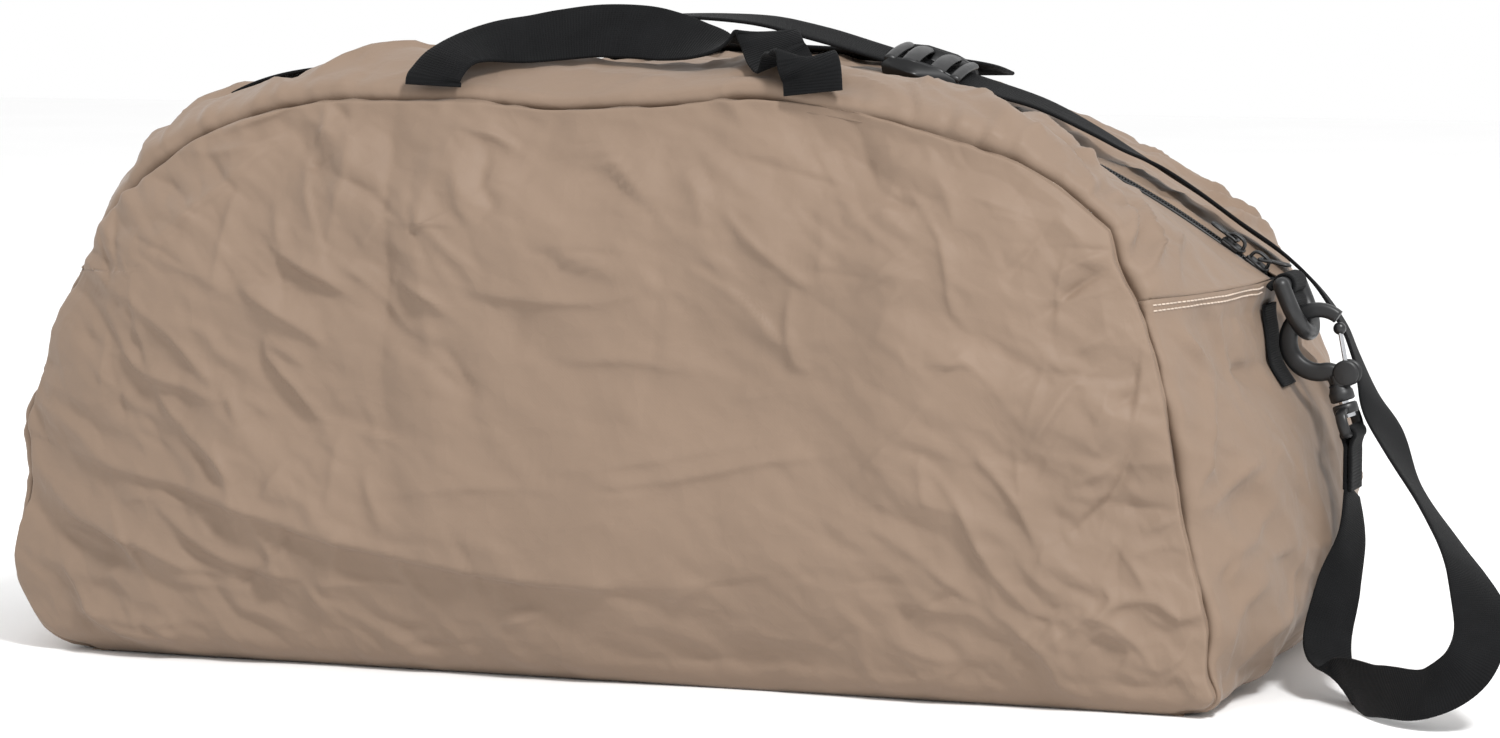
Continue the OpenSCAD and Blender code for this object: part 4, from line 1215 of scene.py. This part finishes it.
def make_adjuster():
    """Three-bar adjuster with a bowed two-step top and moulded side rails."""
    p = np.array(STRAP[ADJUST_I][0]) / MM
    d = unit((np.array(STRAP[ADJUST_I + 1][0]) - np.array(STRAP[ADJUST_I - 1][0])))
    w = unit(np.array(STRAP[ADJUST_I][1], float))
    w = unit(w - d * np.dot(w, d))
    h = np.cross(w, d)
    if h[2] < 0:
        h = -h
    half, out, gap = 21.0, 17.0, 1.5
    parts = []
    for y in (-out + 1.8, out - 1.8):
        rail = np.array([(-half, 0), (-half + 3, 3.4), (-8, 5.6), (8, 5.6), (half - 3, 3.4),
                         (half, 0), (half - 2, -4.2), (-half + 2, -4.2)])[::-1]
        v, f = plate(rail[::-1], -1.8, 1.8, 0.7)
        parts.append((np.column_stack([v[:, 0], v[:, 2] + y, v[:, 1]]),
                      [tuple(reversed(face)) for face in f]))
    for x in (-half + 3.2, half - 3.2):
        line = [(x, y, gap + 1.6 + 1.6 * (1 - (y / out) ** 2)) for y in np.linspace(-out + 1, out - 1, 13)]
        parts.append(sweep(line, ellipse(3.1, 1.9), [(1, 0, 0)] * 13))
    for x, lift in ((-7.5, 2.6), (7.5, 2.6)):
        line = [(x, y, gap + lift + 2.4 * (1 - (y / out) ** 2)) for y in np.linspace(-out + 1, out - 1, 13)]
        parts.append(sweep(line, ellipse(4.6, 1.5), [(1, 0, 0)] * 13))
    line = [(0, y, -gap - 1.7) for y in np.linspace(-out + 1, out - 1, 7)]
    parts.append(sweep(line, ellipse(4.0, 1.6), [(1, 0, 0)] * 7))
    body = placed(merge(parts), p, x=d, z=h)
    obj = make_object("strap_adjuster_body", *body, [PLASTIC])
    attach(obj, "strap_adjuster")
    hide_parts("strap_adjuster")
    return obj


adjuster = make_adjuster()

# ---- cloth pieces -------------------------------------------------------------------------------


def fold_with_mouth(obj):
    """The piece's placement baked into its mesh."""
    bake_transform(obj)


def side_name(side):
    return "front" if side < 0 else "rear"


def end_name(side):
    return "left" if side < 0 else "right"


def make_walls():
    for side in (-1, 1):
        name = side_name(side)
        cloth = cloth_object(name + "_cloth", wall_cloth(side), side > 0, [NYLON])
        fold_with_mouth(cloth)
        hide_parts(name + "_panel", name + "_upper_panel")


def make_gussets():
    for side in (-1, 1):
        name = side_name(side)
        cloth = cloth_object(name + "_gusset_cloth", gusset_cloth(side), side > 0, [NYLON])
        fold_with_mouth(cloth)
        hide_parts(name + "_gusset")


STITCH_LENGTH = 2.2
STITCH_PITCH = 3.2
STITCH_ROWS = (2.6, 5.2)     # below the fold line
STITCH_REACH = (-134, 131)   # first and last place across the end
TAB_GAP = 15                 # half of the gap left for the ring tab


def grid_at(grid, row, col):
    """Point of a grid at fractional row and column."""
    i, j = int(min(row, len(grid) - 1.001)), int(min(col, grid.shape[1] - 1.001))
    a, b = row - i, col - j
    return ((grid[i, j] * (1 - b) + grid[i, j + 1] * b) * (1 - a)
            + (grid[i + 1, j] * (1 - b) + grid[i + 1, j + 1] * b) * a)


def stitch_row(grid, row, columns, out, length=STITCH_LENGTH, radius=0.42):
    """Thread dashes along one row of a cloth grid; out points outward."""
    parts = []
    for start, end in columns:
        a = grid_at(grid, row, start)
        b = grid_at(grid, row, end)
        along = unit(b - a)
        line = [a + along * length * k + out * h
                for k, h in ((0, -0.25), (0.12, 0.2), (0.5, 0.42), (0.88, 0.2), (1, -0.25))]
        across = np.cross(along, out)
        parts.append(sweep(line, ellipse(radius, radius, 6), [across] * 5))
    return parts


def make_ends():
    for side in (-1, 1):
        name = end_name(side)
        grid = end_cloth(side)
        cloth = cloth_object(name + "_end_cloth", grid, side < 0, [NYLON])
        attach(cloth, "bag")
        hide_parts(name + "_end_panel")
        rows, cols = grid.shape[:2]
        per_col = 2 * SEAM_Y / (cols - 1)
        per_row = FOLD_Z / (rows - 1)
        out = np.array([side, 0, 0.15])
        parts = []
        for below in STITCH_ROWS:
            starts = np.arange(*STITCH_REACH, STITCH_PITCH)
            columns = [((y + SEAM_Y) / per_col, (y + STITCH_LENGTH + SEAM_Y) / per_col)
                       for y in starts if abs(y + 1) > TAB_GAP]
            parts += stitch_row(grid, (FOLD_Z - below) / per_row, columns, out)
        stitches = make_object(name + "_end_stitching", *merge(parts), [TAUPE_THREAD])
        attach(stitches, "bag")


def make_base():
    base = cloth_object("base_cloth", base_cloth(), True, [NYLON], thickness=0.35)
    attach(base, "bag")
    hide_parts("bottom_panel")


def make_bindings():
    """Tape folded over the raw edges inside each wall's seam."""
    for side in (-1, 1):
        name = side_name(side)
        rim = wall_rim(side, 150)
        flat = np.column_stack([rim[:, 0], np.full(len(rim), side * (SEAM_Y - 9.0)), rim[:, 1]])
        inset = to_middle(rim[:, 0], np.maximum(rim[:, 1], 8.0)) * 8.0
        line = flat + inset
        line[:, 2] = np.maximum(line[:, 2], 3.0)
        wobble = 0.5 * line_noise(np.arange(len(line)) / 2.5, 131 + side)
        line[:, 1] += wobble
        verts, faces = sweep(line, band_section(8, 1.3), [(0, 1, 0)] * len(line))
        # The binding takes the darker nylon copy, which is painted shade.
        tape = make_object(name + "_binding", verts, faces, [NYLON_PAINTED_SHADE])
        fold_with_mouth(tape)
        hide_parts(name + "_seam_binding", name + "_arch_binding")


make_walls()
make_gussets()
make_ends()
make_base()
make_bindings()

# ---- zip ----------------------------------------------------------------------------------------


def zip_axes(a):
    """Origin, x (along the zip, to the right) and z (outward) at angle a from the top."""
    out = np.array([math.sin(a), 0, math.cos(a)])
    return np.array([0, 0, ZIP_CZ]) + ZIP_R * out, np.array([math.cos(a), 0, -math.sin(a)]), out


def make_zip_tapes():
    for side in (-1, 1):
        name = side_name(side)
        angles = np.linspace(-ZIP_END_A, ZIP_END_A, 241)
        grid = []
        for y, drop in ((14.0, 0.5), (9.0, 0.1), (5.0, 0.0), (1.6, 0.0)):
            r = ZIP_R - drop + 0.15 * line_noise(angles * 60, 141 + side)
            grid.append(np.column_stack([r * np.sin(angles), np.full(len(angles), side * y),
                                         ZIP_CZ + r * np.cos(angles)]))
        tape = cloth_object(name + "_tape", np.array(grid), side > 0, [TAPE], thickness=0.8)
        fold_with_mouth(tape)
        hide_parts(name + "_zip_tape", ("right" if side < 0 else "left") + "_zip_tape_end")


def make_zip_teeth():
    """Interleaved coil turns, one row of rounded loops on each tape."""
    pitch = 1.7
    tooth = plate(rounded_rect(0.95, 3.5, 0.4, steps=1), -0.9, 1.1, 0.35)
    for side in (-1, 1):
        name = side_name(side)
        count = int(2 * ZIP_END_A * ZIP_R / pitch)
        parts = []
        for k in range(count):
            a = -ZIP_END_A + (k + (0.5 if side < 0 else 0)) * pitch / ZIP_R
            origin, x, z = zip_axes(a)
            parts.append(placed(tooth, origin + z * 1.0 + np.array([0, side * 2.3, 0]), x, z))
        line = [zip_axes(a)[0] + zip_axes(a)[2] * 1.1 + np.array([0, side * 4.1, 0])
                for a in np.linspace(-ZIP_END_A, ZIP_END_A, 161)]
        parts.append(sweep(line, ellipse(0.5, 0.8, 8), [(0, 1, 0)] * len(line)))
        teeth = make_object(name + "_teeth", *merge(parts), [PLASTIC])
        fold_with_mouth(teeth)
        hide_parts(name + "_zip_coil", ("right" if side < 0 else "left") + "_zip_coil_end")


def make_cross_tabs():
    for side in (-1, 1):
        name = end_name(side)
        origin, x, z = zip_axes(side * (ZIP_END_A + 0.012))
        route = [((0, y, 1.7 - 1.5 * (abs(y) / 12) ** 3), (1, 0, 0)) for y in range(-12, 13, 3)]
        tab, _ = web_band(name + "_zip_end_tab", route, 7, 1.3, 1.0, [WEB_TAPE])
        verts = np.array([v.co for v in tab.data.vertices]) / MM
        moved, _ = placed((verts, None), origin, x, z)
        tab.data.vertices.foreach_set("co", (moved * MM).ravel())
        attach(tab, "bag")
        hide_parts(name + "_zip_cross_tab")


def slider_part():
    """A coil-zip slider: two shield-shaped plates, a wedge between them and a bridge on top."""
    shield = [(-6.2, -2.6), (-4.8, -4.6), (2, -5.6), (5.4, -5.2), (6.2, -3.6), (6.2, 3.6),
              (5.4, 5.2), (2, 5.6), (-4.8, 4.6), (-6.2, 2.6)]
    parts = [plate(shield, 2.9, 4.5, 0.5), plate(shield, -2.7, -1.2, 0.5)]
    parts.append(block(5, 1.4, 5, 0.3, (2.6, 0, 0.8)))
    for y in (-5.0, 5.0):
        parts.append(block(9.5, 0.9, 1.5, 0.3, (-0.6, y * 0.96, 2.6)))
        parts.append(block(9.5, 0.9, 1.5, 0.3, (-0.6, y * 0.96, -0.9)))
    bridge = [(-4.9, 0, 4.0), (-4.9, 0, 5.8), (-4.2, 0, 7.6), (-2.4, 0, 8.6), (0, 0, 8.8),
              (2.4, 0, 8.6), (4.2, 0, 7.6), (4.9, 0, 5.8), (4.9, 0, 4.0)]
    bridge = spline(bridge, 3)
    parts.append(sweep(bridge, ellipse(1.5, 0.9, 10), [(0, 1, 0)] * len(bridge)))
    return merge(parts)


def pull_part(reach=15.0):
    """A pull tab with a rolled edge, on a wire loop through the bridge."""
    length = reach - 6
    middle = -(6 + length / 2)
    parts = [sweep([(0, y, 6.4) for y in np.linspace(-3.4, 3.4, 7)], ellipse(0.95, 0.95, 10),
                   [(1, 0, 0)] * 7)]
    for y in (-2.8, 2.8):
        arm = [(0.4, y, 6.4), (-2, y, 6.6), (-4, y * 0.95, 6.5), (-6.5, y * 0.9, 6.4)]
        parts.append(sweep(spline(arm, 3), ellipse(0.75, 0.8, 8), [(0, 1, 0)] * 10))
    edge = []
    for deg in range(0, 376, 15):
        a = math.radians(deg)
        cx = middle + (length / 2 - 2.6) * max(-1, min(1, math.cos(a) * 3))
        edge.append((cx + 2.6 * math.cos(a), 2.7 * math.sin(a), 6.4))
    parts.append(sweep(edge, ellipse(0.8, 0.9, 8), [(0, 0, 1)] * len(edge)))
    tab = rounded_rect(length - 2, 4.6, 1.6, steps=3)
    moved, faces = plate(tab, 5.9, 6.9, 0.3)
    parts.append((moved + np.array([middle, 0, 0]), faces))
    return merge(parts)


def pull_turned(part, degrees):
    """The pull turned about its pin."""
    a = math.radians(degrees)
    pivot = np.array([0, 0, 6.4])
    v = np.asarray(part[0]) - pivot
    turned = np.column_stack([v[:, 0] * math.cos(a) + v[:, 2] * math.sin(a), v[:, 1],
                              -v[:, 0] * math.sin(a) + v[:, 2] * math.cos(a)])
    return turned + pivot, part[1]


def make_sliders():
    turn = 180 - math.degrees(ZIP_END_A) + 12
    for angle, body, slider_node, pull_body, pull_node, degrees in (
            (SLIDER_A, "zip_slider", "slider_body", "slider_pull", "slider_pull", 0),
            (PARKED_A, "bag", "parked_slider", "parked_pull", "parked_pull", turn)):
        origin, x, z = zip_axes(angle)
        slider = make_object(slider_node + "_shell", *placed(slider_part(), origin, x, z),
                             [PLASTIC])
        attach(slider, body)
        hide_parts(slider_node)
        tab = placed(pull_turned(pull_part(), degrees), origin, x, z)
        pull = make_object(pull_node + "_tab", *tab, [PLASTIC])
        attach(pull, pull_body)
        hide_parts(pull_node)


make_zip_tapes()
make_zip_teeth()
make_cross_tabs()
make_sliders()

# ---- handles ------------------------------------------------------------------------------------

HANDLE_W = 30.0
HANDLE_T = 2.0
HANDLE_RIB = (1.4, 0.16)
HANDLE_X = (-88.0, 110.0)

# Front handle: place and direction of its width. It twists once and doubles back near the right end.
FRONT_HANDLE = [
    ((-88.5, -140.5, 294), (-1, 0, 0)),
    ((-88, -139, 299), (-1, 0, -0.05)),
    ((-84, -131, 307), (-1, 0.15, 0.1)),
    ((-77, -121, 312), (-0.85, 0.4, 0.35)),
    ((-65, -111, 315), (-0.6, 0.5, 0.6)),
    ((-50, -105, 316.5), (-0.45, 0.5, 0.72)),
    ((-36, -100, 318.5), (-0.25, 0.5, 0.8)),
    ((-17, -96, 320.5), (-0.05, 0.5, 0.85)),
    ((4, -95, 320), (0.08, 0.5, 0.85)),
    ((19, -96, 318), (0.15, 0.6, 0.75)),
    ((36, -98, 315.5), (0.2, 0.8, 0.5)),
    ((49, -99, 315), (0.35, 0.9, 0.25)),
    ((60, -97, 318.5), (0.65, 0.75, 0.05)),
    ((69, -100, 320), (0.95, 0.35, 0)),
    ((76, -107, 318), (1, 0.1, 0)),
    ((83, -116, 310.5), (1, 0, 0)),
    ((90, -122, 307), (1, 0, 0)),
    ((97, -129, 308.5), (1, 0, -0.05)),
    ((104, -135, 309), (1, 0, -0.15)),
    ((109, -139.5, 303), (1, 0, -0.1)),
    ((110.5, -141, 293), (1, 0, 0)),
]

# Rear handle, in its own plane: x and height over its sewn ends
REAR_HANDLE = [(-88, -4), (-87, 18), (-77, 42), (-55, 60), (-25, 70), (10, 69), (42, 62), (70, 51),
               (93, 34), (107, 17), (110, -4)]


def rear_handle_route():
    lean = math.radians(11)
    up = np.array([0, -math.cos(lean), math.sin(lean)])
    foot = np.array([0, SEAM_Y + 3.4, 293.5])
    line = np.array(REAR_HANDLE, float)
    tangents = unit(np.gradient(line, axis=0))
    route = []
    for (x, h), (tx, th) in zip(line, tangents):
        place = foot + up * h + np.array([x, 0, 0])
        route.append((tuple(place), tuple(-th * np.array([1, 0, 0]) + tx * up)))
    return route


def make_handles():
    for side, route in ((-1, FRONT_HANDLE), (1, rear_handle_route())):
        name = side_name(side)
        handle, _ = web_band(name + "_handle_webbing", route, HANDLE_W, HANDLE_T, 0.28,
                             [WEB_HANDLE], rib=HANDLE_RIB, ease=8)
        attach(handle, name + "_handle")
        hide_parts(name + "_handle")


def make_handle_tacks():
    """The sewn feet of each handle, caught in the arch seam."""
    for side in (-1, 1):
        name = side_name(side)
        parts = []
        u = np.linspace(-1, 1, 801)
        ax, az = front_arch(u) if side < 0 else rear_arch(u)
        for x in HANDLE_X:
            z = float(np.interp(x, ax, az))
            slope = float(np.interp(x + 5, ax, az) - np.interp(x - 5, ax, az)) / 10
            line = [(x, side * (SEAM_Y - 9), z + d) for d in (-9, -5, -1, 1)]
            verts, faces = sweep(line, band_section(HANDLE_W, 1.8), [(1, 0, slope)] * 4)
            parts.append((verts, faces))
        tacks = make_object(name + "_handle_feet", *merge(parts), [WEB_HANDLE])
        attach(tacks, name + "_mouth")
        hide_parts(name + "_handle_tacks")


make_handles()
make_handle_tacks()

# ---- ring tabs and end webbing ------------------------------------------------------------------

RING_X, RING_Z = 311.5, 196.5


def make_end_webbing():
    for side in (-1, 1):
        name = end_name(side)
        route = [((side * (end_middle_x(z) + 1.5), 0, z), (0, 1, 0))
                 for z in (146, 156, 165, 173, 180, 186)]
        band, _ = web_band(name + "_end_strip", route, STRAP_W, 1.4, 1.0, [WEB_STRAP])
        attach(band, "bag")
        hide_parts(name + "_end_webbing")


def make_ring_tabs():
    """A short webbing loop round the ring's bar, its two tails sewn to the end panel."""
    for side in (-1, 1):
        name = end_name(side)
        r = 5.0
        loop = [(RING_X + r * math.cos(math.radians(d)), RING_Z + r * math.sin(math.radians(d)))
                for d in range(-60, 211, 30)]
        tail_out = [(RING_X + 4.6, RING_Z - 12), (RING_X + 4.9, RING_Z - 8)]
        tail_in = [(RING_X + 1.2, RING_Z - 6), (RING_X + 2.2, RING_Z - 11)]
        line = tail_out + loop + tail_in
        route = [((side * x, 0, z), (0, 1, 0)) for x, z in line]
        tab, _ = web_band(name + "_tab_loop", route, STRAP_W, 1.6, 0.6, [WEB_STRAP])
        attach(tab, "bag")
        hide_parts(name + "_ring_tab")


make_end_webbing()
make_ring_tabs()

# ---- hooks, gates and swivel eyes ---------------------------------------------------------------

HOOK_C = (-3.0, 32.0)
HOOK_BOW = 15.5
HUB = (6.0, 13.0)
GATE_TILT = math.radians(7.5)
GATE_WAY = np.array([math.sin(GATE_TILT), 0, math.cos(GATE_TILT)])
HUB_AT = np.array([HUB[0], 0, HUB[1]])


def superellipse(rx, ry, power=3.2, sides=24):
    """A rounded rectangle in one smooth curve."""
    a = np.linspace(0, 2 * math.pi, sides, endpoint=False)
    c, s = np.cos(a), np.sin(a)
    return np.column_stack([rx * np.sign(c) * np.abs(c) ** (2 / power),
                            ry * np.sign(s) * np.abs(s) ** (2 / power)])


def across_y(part, at):
    """A turned part laid with its axis along y, centred at (x, z)."""
    return placed(part, (at[0], 0, at[1]), x=(1, 0, 0), z=(0, 1, 0))


def hook_part():
    parts = [lathe([(5.2, 0.1), (6.2, 0.8), (6.2, 4.6), (5.6, 5.6), (4.9, 7.5), (4.9, 9)])]
    arc = []
    for deg in range(34, 271, 8):
        a = math.radians(deg)
        arc.append((HOOK_C[0] + HOOK_BOW * math.cos(a), 0, HOOK_C[1] + HOOK_BOW * math.sin(a)))
    arc += [(-1.4, 0, 15.4), (0.2, 0, 12.5), (0.4, 0, 9)]
    arc = spline(arc, 2)
    n = len(arc)
    t = np.linspace(0, 1, n)
    grow = 0.80 + 0.28 * np.clip(t * 2.2, 0, 1)
    sections = np.stack([superellipse(4.2 * g, 3.6 * (0.88 + 0.12 * min(1, k * 3)))
                         for g, k in zip(grow, t)])
    tangents = unit(np.gradient(arc, axis=0))
    radial = np.cross(tangents, (0, 1, 0))
    parts.append(sweep(arc, sections, radial))
    for y in (-3.9, 3.9):
        disc = lathe([(5.2, -1.1), (6.4, -0.7), (6.6, 0), (6.4, 0.7), (5.2, 1.1)], 32)
        parts.append(placed(disc, (HUB[0], y, HUB[1]), x=(1, 0, 0), z=(0, 1, 0)))
    parts.append(block(9, 9.6, 7.5, 1.0, (2.2, 0, 10.5)))
    return merge(parts)


def gate_wire_part():
    """Two bright wires from the hub pin to a small crossbar."""
    parts = []
    for y in (-1.5, 1.5):
        line = [HUB_AT + GATE_WAY * k + np.array([0, y, 0]) for k in np.linspace(2.4, 23.4, 8)]
        parts.append(sweep(line, ellipse(0.8, 0.8, 10), [(0, 1, 0)] * 8))
    return merge(parts)


def gate_end_part():
    """The gate's moulded hub, and the ball that catches under the hook's nose."""
    ball = lathe([(0.8, -2.9), (2.3, -2.3), (3.1, -1.0), (3.1, 1.0), (2.3, 2.3), (0.8, 2.9)], 18)
    knob = placed(ball, HUB_AT + GATE_WAY * 22.3, x=(1, 0, 0), z=(0, 1, 0))
    core = across_y(lathe([(1.6, -2.5), (3.2, -2.4), (3.6, -1.8), (3.6, 1.8), (3.2, 2.4),
                           (1.6, 2.5)], 22), HUB)
    stem = sweep([HUB_AT + GATE_WAY * k for k in (1.5, 3.5, 5.2)], superellipse(1.6, 2.3),
                 [(1, 0, 0)] * 3)
    return merge([knob, core, stem])


def eye_part():
    """Swivel eye: a collar, and a rounded loop with the strap's bar at the bottom."""
    parts = [lathe([(2.6, -6.4), (5.6, -6.3), (6.3, -5.6), (6.3, -2.0), (5.6, -1.2),
                    (2.6, -1.1)], 32)]
    loop = [(0, 0, -4.2), (0, 9, -4.3), (0, 13.6, -5.6), (0, 15.2, -9), (0, 15.2, -13),
            (0, 14.2, -15.6), (0, 11, -16.2), (0, 0, -16.2), (0, -11, -16.2), (0, -14.2, -15.6),
            (0, -15.2, -13), (0, -15.2, -9), (0, -13.6, -5.6), (0, -9, -4.3), (0, 0, -4.2)]
    loop = spline(loop, 4)
    parts.append(sweep(loop, superellipse(2.9, 1.6, 2.6, 14), [(1, 0, 0)] * len(loop)))
    return merge(parts)


def place_hook_piece(side, part, name, body, node, material):
    obj = make_object(name, *mirrored_part(side, on_hook(part)), [material])
    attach(obj, body)
    if node:
        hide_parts(node)


def make_hooks():
    for side in (-1, 1):
        name = end_name(side)
        place_hook_piece(side, hook_part(), name + "_hook_body", name + "_hook", name + "_hook",
                         PLASTIC_MATT)
        place_hook_piece(side, gate_wire_part(), name + "_gate_wires", name + "_gate",
                         name + "_gate", STEEL)
        place_hook_piece(side, gate_end_part(), name + "_gate_hub", name + "_gate", None,
                         PLASTIC)
        place_hook_piece(side, eye_part(), name + "_eye", "bag", name + "_swivel_eye", PLASTIC)


def paint_cad_nodes():
    """Materials of the CAD nodes whose shape stays."""
    for side in (-1, 1):
        name = end_name(side)
        for node, material in ((name + "_ring", PLASTIC), (name + "_swivel_pin", STEEL),
                               (name + "_gate_pin", STEEL)):
            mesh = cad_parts[node].data
            mesh.materials.clear()
            mesh.materials.append(material)
            mesh.polygons.foreach_set("use_smooth", [True] * len(mesh.polygons))
            mesh.polygons.foreach_set("material_index", [0] * len(mesh.polygons))


make_hooks()
paint_cad_nodes()

# ---- floor and light ----------------------------------------------------------------------------


def make_floor():
    size = 6000.0
    verts = [(-size, -size, 0), (size, -size, 0), (size, size, 0), (-size, size, 0)]
    m = Nodes("pale_floor", Roughness=0.9, Specular_IOR_Level=0.1)
    m.link(m.ramp(m.noise(3, 2), [(0.2, (0.94,) * 3), (0.8, (0.96,) * 3)]), "Base Color")
    floor = make_object("floor", verts, [(0, 1, 2, 3)], [m.material], smooth=False)


def area_light(name, at, aim, size, power, color=(1, 1, 1)):
    data = bpy.data.lights.new(name, "AREA")
    data.shape = "DISK"
    data.size = size
    data.energy = power
    data.color = color
    light = bpy.data.objects.new(name, data)
    bpy.context.scene.collection.objects.link(light)
    light.location = at
    light.rotation_euler = (Vector(aim) - Vector(at)).to_track_quat("-Z", "Y").to_euler()


def make_light():
    world = bpy.data.worlds.new("studio")
    world.use_nodes = True
    world.node_tree.nodes["Background"].inputs["Color"].default_value = (1, 1, 1, 1)
    world.node_tree.nodes["Background"].inputs["Strength"].default_value = 1.0
    bpy.context.scene.world = world
    area_light("key", (1.8, -1.75, 2.7), (0, 0, 0.15), 0.7, 104)
    area_light("side", (-2.4, 0.6, 1.5), (0, 0, 0.15), 1.2, 10)


make_floor()
make_light()
bpy.context.scene.view_settings.view_transform = "Standard"
